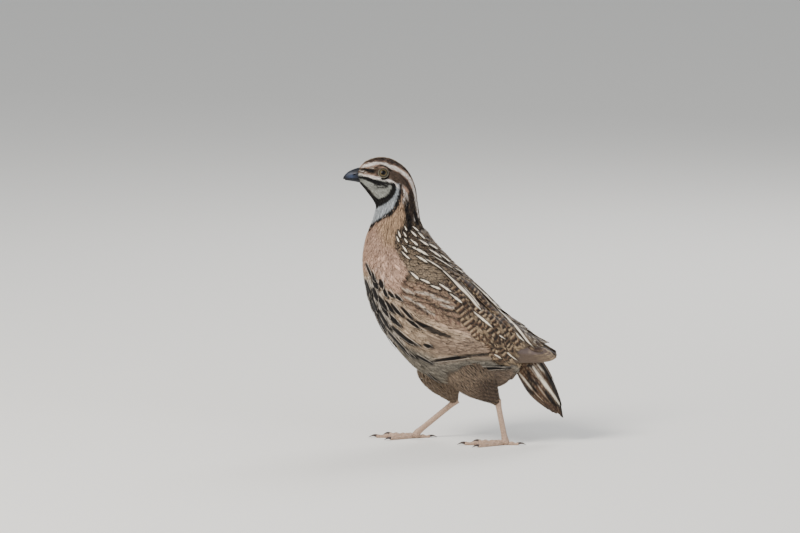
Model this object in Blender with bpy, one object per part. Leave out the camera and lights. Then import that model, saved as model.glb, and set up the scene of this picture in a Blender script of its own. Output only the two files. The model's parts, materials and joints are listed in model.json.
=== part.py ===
"""A rain quail, a small coturnix quail, standing alert in mid-step, as a life-size still model.

The bill points along -X, the bird's left side is -Y and the floor is Z = 0. Sizes are in millimetres
and angles in degrees; the meshes are made in metres. The body, the folded wings and the tail are each
drawn as a row of cross-sections. Each section is named by its back point and its belly point in the
side view and by its half width, and a smooth curve runs through them.
"""

import math

import bmesh
import bpy
import numpy as np
from mathutils import Matrix, Vector
from mathutils.bvhtree import BVHTree

MM = 0.001
GAP = 0.3  # what touching nodes keep between them
FLAT_ANGLE = 1.5  # faces that meet flatter than this are joined after the last cut, degrees
LEFT, RIGHT = -1, 1

# Cross-sections: back x, back z, belly x, belly z, half width, roundness, share wider at the belly
BODY = {
    "face": (-44.2, 132.2, -43.9, 125.5, 3.7, 2.1, 0.0),
    "forehead": (-40.6, 135.8, -40.6, 121.4, 6.7, 2.0, 0.05),
    "eyes": (-34.3, 137.6, -37.4, 117.1, 8.9, 2.0, 0.05),
    "crown": (-27.6, 136.4, -36.0, 114.0, 9.7, 2.0, 0.06),
    "occiput": (-21.1, 131.5, -36.6, 111.1, 9.3, 2.0, 0.04),
    "nape": (-17.3, 123.8, -37.4, 108.2, 8.9, 2.0, 0.0),
    "neck": (-15.8, 114.2, -39.1, 103.7, 9.8, 2.0, 0.0),
    "neck_base": (-13.9, 105.1, -41.5, 96.5, 13.2, 2.0, 0.0),
    "shoulders": (-7.4, 95.8, -42.5, 86.4, 18.6, 2.1, 0.02),
    "breast": (2.6, 85.2, -40.8, 73.9, 22.4, 2.2, 0.05),
    "back": (13.7, 74.4, -35.3, 59.5, 23.6, 2.2, 0.06),
    "loin": (22.8, 65.0, -26.6, 46.1, 22.8, 2.2, 0.06),
    "hips": (29.0, 57.2, -13.2, 33.1, 19.8, 2.1, 0.05),
    "rump": (33.0, 50.4, 8.0, 25.4, 14.8, 2.0, 0.0),
    "vent": (35.6, 44.8, 24.6, 27.4, 9.6, 2.0, 0.0),
    "tail_root": (36.8, 41.6, 31.2, 35.4, 6.0, 2.0, 0.0),
}
HEAD_END = 4.75  # section numbers where the whole body is parted
NECK_END = 7.35

# The folded wings lie on the body as far as the loin, and then run free to their tips.
WING_FREE = (
    (29.6, 59.6, -11.3, 37.0, 20.6, 2.1, 0.0),
    (36.0, 54.4, 7.9, 34.1, 15.8, 2.0, 0.0),
    (42.0, 50.0, 26.2, 35.0, 11.8, 2.0, 0.0),
    (47.9, 46.9, 42.0, 36.9, 8.4, 2.0, 0.0),
    (52.9, 44.0, 51.9, 39.2, 5.6, 2.0, 0.0),
)
WING_GUIDE = list(BODY.values())[7:12] + list(WING_FREE)

TAIL = (
    (36.0, 46.0, 29.5, 37.2, 6.0, 2.0, 0.0),
    (43.0, 38.4, 33.2, 30.4, 6.6, 2.0, 0.0),
    (48.4, 28.6, 38.4, 22.8, 5.4, 2.0, 0.0),
    (52.0, 18.6, 46.6, 15.9, 3.4, 2.0, 0.0),
    (53.4, 12.2, 52.4, 11.6, 1.4, 2.0, 0.0),
)

# Bill: distance from its base, height over the mouth line, depth below it, half width
BILL_BASE = (-44.3, 127.3)
BILL = (
    (-2.6, 5.6, 2.0, 3.5),
    (0.0, 5.2, 1.7, 3.4),
    (1.8, 4.7, 1.3, 3.0),
    (4.2, 3.7, 1.0, 2.2),
    (6.1, 2.4, 0.7, 1.4),
    (7.4, 0.9, 0.4, 0.6),
)
BILL_DROOP_FROM = 4.0  # from here on the bill bends down, by BILL_TIP_DROP at its end
BILL_TIP_DROP = 0.3
LOWER_TAPER_FROM = 3.0  # from here on the lower half is drawn in, to end behind the hooked tip
BILL_SHORT_LOWER = 0.8
MOUTH_GAP = 0.3
NOSTRIL = (1.6, 2.4, 1.3, 0.42)  # behind the base, over the mouth line, half length, half height

EYE_PLACE = (-32.6, 130.9)
EYE_RADIUS = 3.3
EYE_PROUD = 0.75  # how far the eyeball stands out of the face
LID_RADIUS = 2.5
LID_THICK = 0.45
LID_LIFT = 2.4  # the lids' height over the eyeball's centre

# Legs, left and right: hip, heel and foot, each x, y, z, with y on the bird's own side
LEG_JOINTS = {
    "left": ((4.0, 10.5, 41.0), (22.5, 11.5, 20.4), (26.0, 11.0, 1.7)),
    "right": ((-8.0, 10.5, 39.5), (2.0, 11.5, 17.6), (-16.5, 11.5, 1.7)),
}
# Thigh: share of its length, half depth, half width
THIGH = (
    (0.0, 10.5, 7.6),
    (0.3, 10.6, 7.8),
    (0.55, 8.6, 6.6),
    (0.76, 5.4, 4.4),
    (0.92, 2.7, 2.5),
    (1.0, 1.7, 1.6),
)
SHANK_DEEP = 1.5
SHANK_WIDE = 1.15
SCUTES = 11
SCUTE_STEP = 0.22
TOES = {  # angle outwards from straight ahead, length, thickness
    "middle": (2.0, 19.5, 1.25),
    "inner": (-30.0, 14.5, 1.15),
    "outer": (33.0, 15.5, 1.15),
    "hind": (172.0, 6.5, 1.0),
}
TOE_SINK = 0.28  # cut off below, so that each toe stands on a small flat
CLAW_LENGTH = 4.2

# Folded wing, in guide sections from the neck base and degrees from the back's midline
WING_EDGES = (
    (1.25, 82.0, 98.0),
    (2.2, 50.0, 112.0),
    (4.2, 29.0, 106.0),
    (6.6, 24.0, 96.0),
    (8.7, 62.0, 90.0),
)
WING_CREST = ((0.3,), (2.1,), (1.9,), (1.0,), (0.35,))
VANE_THICK = 0.55
VANE_TILT = 0.34  # an edge's height over the feather's middle, mm
# Share of the width along a feather
VANE_SHAPE = ((0.0, 0.55), (0.35, 0.95), (0.85, 0.92), (1.0, 0.35))
# Tiers of the wing: count, root and tip of the lowest and the highest feather, half widths, lift
WING_TIERS = (
    (6, ((5.4, 94), (8.6, 88)), ((5.2, 74), (8.0, 66)), (2.5, 2.9), 0.0),
    (5, ((3.4, 104), (6.2, 95)), ((3.6, 86), (6.7, 80)), (2.9, 3.2), 0.15),
    (4, ((3.6, 79), (6.9, 72)), ((3.6, 46), (7.3, 37)), (4.3, 4.3), 0.4),
    (5, ((2.5, 104), (4.5, 101)), ((2.7, 60), (4.8, 54)), (3.8, 4.4), 0.6),
    (5, ((1.8, 99), (3.0, 104)), ((2.0, 62), (3.4, 58)), (3.6, 4.0), 0.9),
    (4, ((2.2, 55), (5.5, 48)), ((2.7, 38), (6.2, 31)), (3.5, 3.2), 1.0),
)
# Tiers of the tail: count, degrees from side to side, root and tip sections, half width, lift
TAIL_TIERS = (
    (7, (-96, 96), 0.5, 4.0, 2.7, 0.4),
    (4, (-50, 50), 0.2, 3.0, 2.8, 1.0),
    (2, (158, 202), 0.3, 2.5, 2.8, 0.4),
)

COLOURS = {
    "buff": (0.62, 0.44, 0.32, 1.0),
    "face": (0.55, 0.46, 0.38, 1.0),
    "brown": (0.24, 0.17, 0.12, 1.0),
    "dark_brown": (0.12, 0.08, 0.06, 1.0),
    "slate": (0.09, 0.10, 0.13, 1.0),
    "eye": (0.03, 0.025, 0.02, 1.0),
    "leg": (0.50, 0.36, 0.30, 1.0),
    "claw": (0.20, 0.15, 0.12, 1.0),
}


def smooth(rows, t):
    """The row at place t on a Catmull-Rom curve through the rows, which are numbered from 0."""
    table = np.array(rows, float)
    last = len(table) - 1
    i = int(min(max(math.floor(t), 0), last - 1))
    f = t - i
    a, b = table[i], table[i + 1]
    before = table[i - 1] if i > 0 else 2 * a - b
    after = table[i + 2] if i + 2 <= last else 2 * b - a
    square = 2 * before - 5 * a + 4 * b - after
    cube = 3 * a - before - 3 * b + after
    return 0.5 * (2 * a + (b - before) * f + square * f**2 + cube * f**3)


def section_point(rows, t, degrees, side=RIGHT):
    """A point on the hull through these sections: 0 degrees is the back's midline, 180 the belly's."""
    back_x, back_z, belly_x, belly_z, half_width, roundness, pear = smooth(rows, t)
    back, belly = Vector((back_x, 0, back_z)), Vector((belly_x, 0, belly_z))
    c, s = math.cos(math.radians(degrees)), math.sin(math.radians(degrees))
    up = math.copysign(abs(c) ** (2 / roundness), c)
    out = math.copysign(abs(s) ** (2 / roundness), s) * (1 - pear * up)
    return (back + belly) / 2 + (back - belly) / 2 * up + Vector((0, side * half_width * out, 0))


def section_frame(rows, t, degrees, side=RIGHT):
    """The hull's point, its outward normal, and millimetres per degree round the section."""
    here = section_point(rows, t, degrees, side)
    ahead = section_point(rows, t + 0.05, degrees, side) - section_point(rows, t - 0.05, degrees, side)
    round_it = section_point(rows, t, degrees + 1, side) - section_point(rows, t, degrees - 1, side)
    normal = ahead.cross(round_it).normalized() * side
    middle = (section_point(rows, t, 0, side) + section_point(rows, t, 180, side)) / 2
    if normal.dot(here - middle) < 0:
        normal = -normal
    return here, normal, round_it.length / 2


def mesh_object(name, bm):
    bmesh.ops.recalc_face_normals(bm, faces=bm.faces)
    mesh = bpy.data.meshes.new(name)
    bm.to_mesh(mesh)
    bm.free()
    obj = bpy.data.objects.new(name, mesh)
    bpy.context.scene.collection.objects.link(obj)
    return obj


def loft(name, rings, start=None, end=None):
    """A closed body through rings of points in millimetres, ended by a flat cap or drawn to a point."""
    bm = bmesh.new()
    loops = [[bm.verts.new(p * MM) for p in ring] for ring in rings]
    count = len(loops[0])
    for a, b in zip(loops, loops[1:]):
        for i in range(count):
            j = (i + 1) % count
            bm.faces.new((a[i], a[j], b[j]))
            bm.faces.new((a[i], b[j], b[i]))
    for ring, tip in ((loops[0], start), (loops[-1], end)):
        if tip is None:
            bm.faces.new(ring)
            continue
        point = bm.verts.new(tip * MM)
        for i in range(count):
            bm.faces.new((ring[i], ring[(i + 1) % count], point))
    return mesh_object(name, bm)


def hull(name, rows, places, sides):
    """The hull of a section table, with a ring at each of these places."""
    steps = [360 * k / sides for k in range(sides)]
    rings = [[section_point(rows, t, a) for a in steps] for t in places]
    return loft(name, rings)


def grown(obj, by=GAP):
    """A copy of a body made thicker by this much all round, to cut its neighbours clear of it."""
    copy = obj.copy()
    copy.data = obj.data.copy()
    bpy.context.scene.collection.objects.link(copy)
    bm = bmesh.new()
    bm.from_mesh(copy.data)
    moved = [v.co + v.normal * (by * MM) for v in bm.verts]
    for v, place in zip(bm.verts, moved):
        v.co = place
    bm.to_mesh(copy.data)
    bm.free()
    return copy


def drop(*objects):
    for obj in objects:
        bpy.data.objects.remove(obj)


def settle(obj):
    """Applies the modifiers and keeps only the largest closed surface."""
    bpy.context.view_layer.update()
    graph = bpy.context.evaluated_depsgraph_get()
    made = bpy.data.meshes.new_from_object(obj.evaluated_get(graph))
    obj.modifiers.clear()
    obj.data = made
    bm = bmesh.new()
    bm.from_mesh(made)
    islands, seen = [], set()
    for seed in bm.faces:
        if seed in seen:
            continue
        seen.add(seed)
        island, stack = [], [seed]
        while stack:
            face = stack.pop()
            island.append(face)
            for edge in face.edges:
                for other in edge.link_faces:
                    if other not in seen:
                        seen.add(other)
                        stack.append(other)
        islands.append(island)
    largest = max(islands, key=lambda island: sum(f.calc_area() for f in island))
    spare = [f for island in islands if island is not largest for f in island]
    bmesh.ops.delete(bm, geom=spare, context="FACES")
    bmesh.ops.triangulate(bm, faces=bm.faces)
    bm.to_mesh(made)
    bm.free()
    return obj


def merge_flat_faces(obj):
    """Joins the slivers that the cuts left on flat faces."""
    bm = bmesh.new()
    bm.from_mesh(obj.data)
    bmesh.ops.dissolve_limit(bm, angle_limit=math.radians(FLAT_ANGLE), verts=bm.verts, edges=bm.edges)
    bmesh.ops.triangulate(bm, faces=bm.faces)
    bm.to_mesh(obj.data)
    bm.free()


def boolean(obj, operation, others, solver="EXACT"):
    """Joins or cuts a body with the others, in one step, and removes them."""
    group = bpy.data.collections.new("operands")
    bpy.context.scene.collection.children.link(group)
    for other in others:
        bpy.context.scene.collection.objects.unlink(other)
        group.objects.link(other)
    step = obj.modifiers.new(operation.lower(), "BOOLEAN")
    step.operation = operation
    step.operand_type = "COLLECTION"
    step.collection = group
    step.solver = solver
    settle(obj)
    drop(*group.objects)
    bpy.data.collections.remove(group)
    return obj


def parted(obj, name, point, normal):
    """A copy of a body cut off by a plane, on the side that the normal points away from."""
    bm = bmesh.new()
    bm.from_mesh(obj.data)
    bmesh.ops.bisect_plane(
        bm,
        geom=bm.verts[:] + bm.edges[:] + bm.faces[:],
        dist=1e-7,
        plane_co=point * MM,
        plane_no=normal,
        clear_outer=True,
    )
    rim = [edge for edge in bm.edges if edge.is_boundary]
    bmesh.ops.edgeloop_fill(bm, edges=rim)
    return mesh_object(name, bm)


def section_plane(t):
    """A body section's middle, and the direction along the body that its plane faces."""
    back, belly = section_point(list(BODY.values()), t, 0), section_point(list(BODY.values()), t, 180)
    across = (back - belly).normalized()
    return (back + belly) / 2, Vector((0, 1, 0)).cross(across)


def ball(name, centre, radius, segments=16, rings=10):
    bm = bmesh.new()
    bmesh.ops.create_uvsphere(bm, u_segments=segments, v_segments=rings, radius=radius * MM)
    bmesh.ops.translate(bm, verts=bm.verts, vec=centre * MM)
    return mesh_object(name, bm)


def tube_rings(path, radii, sides, across=Vector((0, 1, 0))):
    """Rings along a path. Each radius is a pair, in the path's upright plane and across it."""
    rings = []
    for k, point in enumerate(path):
        ahead = (path[min(k + 1, len(path) - 1)] - path[max(k - 1, 0)]).normalized()
        wide = (across - ahead * across.dot(ahead)).normalized()
        deep = wide.cross(ahead)
        high, broad = radii[k]
        ring = []
        for i in range(sides):
            a = 2 * math.pi * i / sides
            ring.append(point + deep * (high * math.cos(a)) + wide * (broad * math.sin(a)))
        rings.append(ring)
    return rings


def surface_of(obj):
    bm = bmesh.new()
    bm.from_mesh(obj.data)
    tree = BVHTree.FromBMesh(bm)
    bm.free()
    return tree


def eye_seat(head, side):
    """The way an eye looks, square to the face, and its centre, set in to stand out by EYE_PROUD."""
    start = Vector((EYE_PLACE[0], side * 100, EYE_PLACE[1])) * MM
    skin, way, _, _ = surface_of(head).ray_cast(start, Vector((0, -side, 0)))
    return way, skin / MM - way * (EYE_RADIUS - EYE_PROUD)


def eyelids(way, centre):
    """The ring of bare skin round the eye opening."""
    turn = way.to_track_quat("Z", "Y").to_matrix()
    steps, sides = 16, 5
    bm = bmesh.new()
    loops = []
    for k in range(steps):
        a = 2 * math.pi * k / steps
        loops.append([])
        for i in range(sides):
            b = 2 * math.pi * i / sides
            out = LID_RADIUS + LID_THICK * math.cos(b)
            lift = LID_LIFT + LID_THICK * math.sin(b)
            point = Vector((out * math.cos(a) * 1.08, out * math.sin(a), lift))
            loops[-1].append(bm.verts.new((centre + turn @ point) * MM))
    for k in range(steps):
        a, b = loops[k], loops[(k + 1) % steps]
        for i in range(sides):
            j = (i + 1) % sides
            bm.faces.new((a[i], a[j], b[j], b[i]))
    return mesh_object("eyelids", bm)


def body_places(first, last, step):
    return list(np.linspace(first, last, round((last - first) / step) + 1))


def make_body():
    """Head, neck and torso: one hull, parted by two thin plane cuts."""
    rows = list(BODY.values())
    places = body_places(0, 5, 0.28)[:-1] + body_places(5, len(rows) - 1, 0.4)
    whole = hull("whole", rows, places, 24)
    head_cut, head_way = section_plane(HEAD_END)
    neck_cut, neck_way = section_plane(NECK_END)
    half = GAP / 2
    head = parted(whole, "head", head_cut - head_way * half, head_way)
    collar = parted(whole, "collar", neck_cut - neck_way * half, neck_way)
    neck = parted(collar, "neck", head_cut + head_way * half, -head_way)
    torso = parted(whole, "torso", neck_cut + neck_way * half, -neck_way)
    drop(whole, collar)
    return head, neck, torso


def make_eyes(head):
    """Cuts the sockets, rings them with lids, and returns the two eyeballs."""
    seats = {name: eye_seat(head, side) for name, side in (("left", LEFT), ("right", RIGHT))}
    boolean(head, "UNION", [eyelids(*seat) for seat in seats.values()])
    sockets = [ball("socket", centre, EYE_RADIUS + GAP) for _, centre in seats.values()]
    boolean(head, "DIFFERENCE", sockets)
    return [ball("eye_" + name, centre, EYE_RADIUS) for name, (_, centre) in seats.items()]


def bill_half(name, upper):
    """One half of the bill: an arch over, or a keel under, a flat mouth face."""
    sides, rings = 10, []
    for place in np.linspace(0, len(BILL) - 1, 10):
        ahead, height, depth, half_width = smooth(BILL, place)
        reach = ahead
        if not upper and ahead > LOWER_TAPER_FROM:
            reach -= BILL_SHORT_LOWER * (ahead - LOWER_TAPER_FROM) / (BILL[-1][0] - LOWER_TAPER_FROM)
        bend = max(0.0, (reach - BILL_DROOP_FROM) / (BILL[-1][0] - BILL_DROOP_FROM))
        droop = BILL_TIP_DROP * bend**2
        tall = height if upper else -depth
        floor = (MOUTH_GAP / 2) * (1 if upper else -1)
        ring = []
        for i in range(sides):
            a = math.pi * i / (sides - 1)
            rise = tall * math.sin(a) ** 0.85
            x = BILL_BASE[0] - reach
            ring.append(Vector((x, half_width * math.cos(a), BILL_BASE[1] + floor + rise - droop)))
        rings.append(ring)
    tip = rings[-1][0].lerp(rings[-1][-1], 0.5) + Vector((-0.45, 0, -0.25 if upper else -0.05))
    return loft(name, rings, end=tip)


def make_bill(head):
    """Upper and lower half, cut clear of the face, with a slit nostril on each side."""
    upper, lower = bill_half("bill_upper", True), bill_half("bill_lower", False)
    ahead, over, half_length, half_height = NOSTRIL
    slits = []
    for side in (LEFT, RIGHT):
        bm = bmesh.new()
        bmesh.ops.create_uvsphere(bm, u_segments=8, v_segments=6, radius=MM)
        shape = Matrix.Diagonal((half_length, 0.7, half_height, 1))
        place = Matrix.Translation(Vector((BILL_BASE[0] - ahead, side * 2.5, BILL_BASE[1] + over)) * MM)
        tilt = Matrix.Rotation(math.radians(-14), 4, "Y")
        bmesh.ops.transform(bm, matrix=place @ tilt @ shape, verts=bm.verts)
        slits.append(mesh_object("slit", bm))
    boolean(upper, "DIFFERENCE", slits)
    boolean(upper, "DIFFERENCE", [grown(head)])
    boolean(lower, "DIFFERENCE", [grown(head)])
    return [upper, lower]


def vane(rows, root, tip, half_width, height, side=RIGHT):
    """One feather laid on a hull from root to tip, each (section, degrees).

    It is a thin tapered plate, split into the same triangles on both faces, and tilted so that its
    belly-side edge lies over its neighbour.
    """
    bm = bmesh.new()
    layers = {True: [], False: []}
    for f, share in VANE_SHAPE:
        t, degrees = (root[i] + (tip[i] - root[i]) * f for i in range(2))
        per_degree = section_frame(rows, t, degrees, side)[2]
        for top in (True, False):
            row = []
            for c in (-1, 1):
                edge = degrees + c * half_width * share / per_degree
                point, normal, _ = section_frame(rows, t, edge, side)
                lift = height(f) + VANE_TILT * c - (0 if top else VANE_THICK)
                row.append(bm.verts.new((point + normal * lift) * MM))
            layers[top].append(row)
    top, low = layers[True], layers[False]
    for k in range(len(VANE_SHAPE) - 1):
        for layer in (top, low):
            (a, b), (d, c) = layer[k], layer[k + 1]
            bm.faces.new((a, b, c))
            bm.faces.new((a, c, d))
        for i in (0, 1):
            bm.faces.new((top[k][i], top[k + 1][i], low[k + 1][i]))
            bm.faces.new((top[k][i], low[k + 1][i], low[k][i]))
    for k in (0, -1):
        bm.faces.new((top[k][0], top[k][1], low[k][1]))
        bm.faces.new((top[k][0], low[k][1], low[k][0]))
    return mesh_object("vane", bm)


def wing_height(f, b):
    """How far the wing stands off the guide, at f of its length and b of the way down it."""
    crest = smooth(WING_CREST, f * (len(WING_CREST) - 1))[0]
    return 0.55 + crest * math.sin(math.pi * min(max(b, 0.0), 1.0)) ** 0.7


def wing_core(side):
    """The smooth body of the folded wing: thick on the flank, and a thin shell where it runs free."""
    across, along = 6, 11
    rings = []
    for k in range(along):
        f = k / (along - 1)
        t, upper, lower = smooth(WING_EDGES, f * (len(WING_EDGES) - 1))
        deep = 1.6 if t < 4.4 else 1.6 - 0.75 * min(1.0, (t - 4.4) / 1.2)
        outer, inner = [], []
        for i in range(across):
            b = i / (across - 1)
            point, normal, _ = section_frame(WING_GUIDE, t, upper + (lower - upper) * b, side)
            high = wing_height(f, b)
            low = -deep if t < 4.4 else high - max(0.8, deep)
            outer.append(point + normal * high)
            inner.append(point + normal * min(low, high - 0.6))
        rings.append(outer + inner[::-1])
    return loft("wing_core", rings)


def wing_tier(side, count, lowest, highest, half_widths, lift):
    """A tier of feathers spaced evenly up from the wing's lower edge, each with its root sunk in."""
    made = []
    for i in range(count):
        f = i / (count - 1)
        root, tip = (
            [low + (high - low) * f for low, high in zip(lowest[k], highest[k])] for k in (0, 1)
        )

        def height(g, root=root, tip=tip):
            t, degrees = (root[n] + (tip[n] - root[n]) * g for n in (0, 1))
            first, last = WING_EDGES[0][0], WING_EDGES[-1][0]
            length = min(1.0, (t - first) / (last - first))
            _, upper, lower = smooth(WING_EDGES, length * (len(WING_EDGES) - 1))
            sunk = 0.6 * (1 - g) ** 2
            return wing_height(length, (degrees - upper) / (lower - upper)) + lift - sunk + 0.3 * g

        half_width = half_widths[0] + (half_widths[1] - half_widths[0]) * f
        made.append(vane(WING_GUIDE, root, tip, half_width, height, side))
    return made


def make_wing(name, side, torso):
    """A folded wing: primaries, secondaries, tertials, two rows of coverts, and the scapulars."""
    core = wing_core(side)
    core.name = name
    feathers = [feather for tier in WING_TIERS for feather in wing_tier(side, *tier)]
    boolean(core, "UNION", feathers, "MANIFOLD")
    return boolean(core, "DIFFERENCE", [grown(torso)], "MANIFOLD")


def tail_tier(count, spread, root, tip, half_width, lift):
    """Feathers laid round the tail from side to side, the outer ones shorter."""
    made = []
    for i in range(count):
        f = 2 * i / (count - 1) - 1
        degrees = (spread[0] + spread[1] + (spread[1] - spread[0]) * f) / 2
        side = RIGHT if degrees >= 0 else LEFT
        ends = ((root, abs(degrees)), (tip - 0.45 * f * f, abs(degrees) * 0.92))
        high = lift + 0.3 * (1 - abs(f))
        made.append(vane(TAIL, *ends, half_width, lambda g, high=high: high - 0.6 * (1 - g) ** 2, side))
    return made


def make_tail(torso):
    """A short drooping tail: a tapered core with its feathers, and the coverts over and under it."""
    inner = [(*row[:4], row[4] * 0.9, *row[5:]) for row in TAIL]
    core = hull("tail", inner, np.linspace(0.1, 3.3, 6), 10)
    feathers = [feather for tier in TAIL_TIERS for feather in tail_tier(*tier)]
    boolean(core, "UNION", feathers, "MANIFOLD")
    return boolean(core, "DIFFERENCE", [grown(torso)], "MANIFOLD")


def leg_points(name):
    side = LEFT if name == "left" else RIGHT
    return [Vector((x, side * y, z)) for x, y, z in LEG_JOINTS[name]]


def make_leg(name, torso):
    """Thigh, shank with its front scutes, foot and claws of one leg."""
    side = LEFT if name == "left" else RIGHT
    hip, heel, foot = leg_points(name)
    count = 12
    rows = [smooth(THIGH, i * (len(THIGH) - 1) / (count - 1)) for i in range(count)]
    path = [hip.lerp(heel, row[0]) for row in rows]
    thigh = loft("thigh_" + name, tube_rings(path, [row[1:] for row in rows], 14))
    heel_end = heel + (heel - foot).normalized() * 1.2
    steps = SCUTES * 2 + 1
    path, radii = [], []
    for i in range(steps):
        f = i / (steps - 1)
        path.append(heel_end.lerp(foot + Vector((0, 0, 0.6)), f))
        joint = 0.45 * math.exp(-((f / 0.12) ** 2)) + 0.25 * math.exp(-(((1 - f) / 0.1) ** 2))
        plate = SCUTE_STEP * (i % 2)
        radii.append((SHANK_DEEP + joint + plate, SHANK_WIDE + joint + plate / 2))
    shank = loft("shank_" + name, tube_rings(path, radii, 8))
    boolean(shank, "DIFFERENCE", [grown(thigh)])
    boolean(thigh, "DIFFERENCE", [grown(torso)])
    made, toes, claws = [thigh, shank], [], []
    for toe, (angle, length, thick) in TOES.items():
        turn = math.radians(angle * side)
        way = Vector((-math.cos(turn), math.sin(turn), 0))
        path, radii = [], []
        for i in range(11):
            f = i / 10
            pad = 0.14 * math.cos(2 * math.pi * f * (4 if length > 10 else 2))
            radius = thick * (1 - 0.3 * f) + pad
            floor = radius - TOE_SINK
            rise = (foot.z - floor) * max(0.0, 1 - f / 0.34) ** 1.5
            path.append(Vector((foot.x, foot.y, 0)) + way * (length * f) + Vector((0, 0, floor + rise)))
            radii.append((radius, radius * 0.95))
        across = way.cross(Vector((0, 0, 1)))
        toes.append(loft("toe", tube_rings(path, radii, 7, across), end=path[-1] + way * (thick * 0.35)))
        claws.append(make_claw(f"claw_{name}_{toe}", path[-1], way, across, thick))
    base = ball("foot_" + name, foot, 2.0, 10, 7)
    boolean(base, "UNION", toes)
    bpy.context.view_layer.update()
    sole = parted(base, "sole", Vector((0, 0, 0)), Vector((0, 0, -1)))
    drop(base)
    sole.name = "foot_" + name
    boolean(sole, "DIFFERENCE", [grown(shank)])
    for claw in claws:
        boolean(claw, "DIFFERENCE", [grown(sole)])
    return made + [sole] + claws


def make_claw(name, root, way, across, thick):
    """A curved claw that leaves the toe's end and comes down to just over the floor."""
    path, radii = [], []
    for i in range(6):
        f = i / 5
        high = root.z + 0.25 + 0.45 * math.sin(math.pi * f) - (root.z - 0.12) * f**1.6
        path.append(Vector((root.x, root.y, 0)) + way * (CLAW_LENGTH * f - 0.3) + Vector((0, 0, high)))
        taper = thick * 0.62 * (1 - f) ** 0.8 + 0.1
        radii.append((taper, taper * 0.8))
    return loft(name, tube_rings(path, radii, 6, across))


def paint(obj, colour, roughness):
    material = bpy.data.materials.get(colour) or bpy.data.materials.new(colour)
    material.use_nodes = True
    shader = material.node_tree.nodes["Principled BSDF"]
    shader.inputs["Base Color"].default_value = COLOURS[colour]
    shader.inputs["Roughness"].default_value = roughness
    shader.inputs["Metallic"].default_value = 0.0
    obj.data.materials.clear()
    obj.data.materials.append(material)


def colour_of(name):
    """The colour and roughness of a node, by the part it is."""
    looks = {
        "head": ("face", 0.8),
        "wing": ("brown", 0.8),
        "tail": ("dark_brown", 0.8),
        "bill": ("slate", 0.35),
        "eye": ("eye", 0.08),
        "shank": ("leg", 0.5),
        "foot": ("leg", 0.5),
        "claw": ("claw", 0.4),
    }
    return looks.get(name.split("_")[0], ("buff", 0.85))


def main():
    for obj in list(bpy.data.objects):
        bpy.data.objects.remove(obj)
    head, neck, torso = make_body()
    eyes = make_eyes(head)
    bill = make_bill(head)
    wings = [make_wing("wing_left", LEFT, torso), make_wing("wing_right", RIGHT, torso)]
    tail = make_tail(torso)
    boolean(tail, "DIFFERENCE", [grown(wing) for wing in wings], "MANIFOLD")
    legs = make_leg("left", torso) + make_leg("right", torso)
    nodes = [head, neck, torso, *eyes, *bill, *wings, tail, *legs]
    for part in nodes:
        kind = part.name.split("_")[0]
        if kind in ("neck", "thigh"):
            boolean(part, "DIFFERENCE", [grown(wing) for wing in wings], "MANIFOLD")
        if kind in ("wing", "tail", "foot"):
            merge_flat_faces(part)
    quail = bpy.data.objects.new("quail", None)
    bpy.context.scene.collection.objects.link(quail)
    corners = np.array([v.co for obj in nodes for v in obj.data.vertices])
    low, high = corners.min(axis=0), corners.max(axis=0)
    quail.location = (-(low[0] + high[0]) / 2, -(low[1] + high[1]) / 2, -low[2])
    for obj in nodes:
        paint(obj, *colour_of(obj.name))
        obj.parent = quail
        obj.data.shade_smooth()
        obj.data.set_sharp_from_angle(angle=math.radians(35))


main()
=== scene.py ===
"""The looks of a male rain quail: skin, plumage, eyes, bill and feet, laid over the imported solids."""

import json
import math

import bmesh
import bpy
import numpy as np
from mathutils import Matrix, Vector

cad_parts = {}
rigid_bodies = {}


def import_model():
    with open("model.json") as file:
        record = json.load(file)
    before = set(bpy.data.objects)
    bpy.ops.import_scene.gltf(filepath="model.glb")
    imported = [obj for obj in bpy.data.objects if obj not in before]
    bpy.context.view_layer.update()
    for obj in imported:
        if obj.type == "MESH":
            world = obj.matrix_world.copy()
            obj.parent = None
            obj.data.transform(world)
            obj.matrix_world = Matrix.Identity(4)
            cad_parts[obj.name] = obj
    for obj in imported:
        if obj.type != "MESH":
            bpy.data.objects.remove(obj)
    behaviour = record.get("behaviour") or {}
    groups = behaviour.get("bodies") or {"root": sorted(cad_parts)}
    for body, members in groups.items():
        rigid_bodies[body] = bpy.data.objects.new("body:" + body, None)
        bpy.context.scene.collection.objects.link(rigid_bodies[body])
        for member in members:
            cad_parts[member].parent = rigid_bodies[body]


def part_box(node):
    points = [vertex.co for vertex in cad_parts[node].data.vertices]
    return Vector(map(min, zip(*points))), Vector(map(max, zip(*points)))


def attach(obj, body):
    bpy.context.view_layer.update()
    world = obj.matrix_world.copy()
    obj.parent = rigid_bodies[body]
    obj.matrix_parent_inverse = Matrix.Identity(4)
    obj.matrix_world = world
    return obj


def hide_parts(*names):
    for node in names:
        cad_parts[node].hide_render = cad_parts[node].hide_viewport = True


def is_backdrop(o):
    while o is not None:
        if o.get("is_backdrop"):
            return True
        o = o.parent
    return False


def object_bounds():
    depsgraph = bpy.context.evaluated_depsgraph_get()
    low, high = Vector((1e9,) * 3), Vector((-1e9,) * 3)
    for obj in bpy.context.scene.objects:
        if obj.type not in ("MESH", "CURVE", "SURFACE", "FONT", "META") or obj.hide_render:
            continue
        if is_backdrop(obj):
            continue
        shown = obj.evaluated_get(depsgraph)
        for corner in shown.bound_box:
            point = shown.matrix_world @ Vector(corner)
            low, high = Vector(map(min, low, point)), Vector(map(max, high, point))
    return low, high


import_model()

bl_info = {
    "name": "Rain quail",
    "version": (1, 0, 0),
    "blender": (4, 5, 0),
    "location": "View3D > Sidebar > Quail",
    "description": "Builds a life-size male rain quail over its solids",
    "category": "Object",
}

MM = 0.001
SIDES = (("left", -1), ("right", 1))

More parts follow.
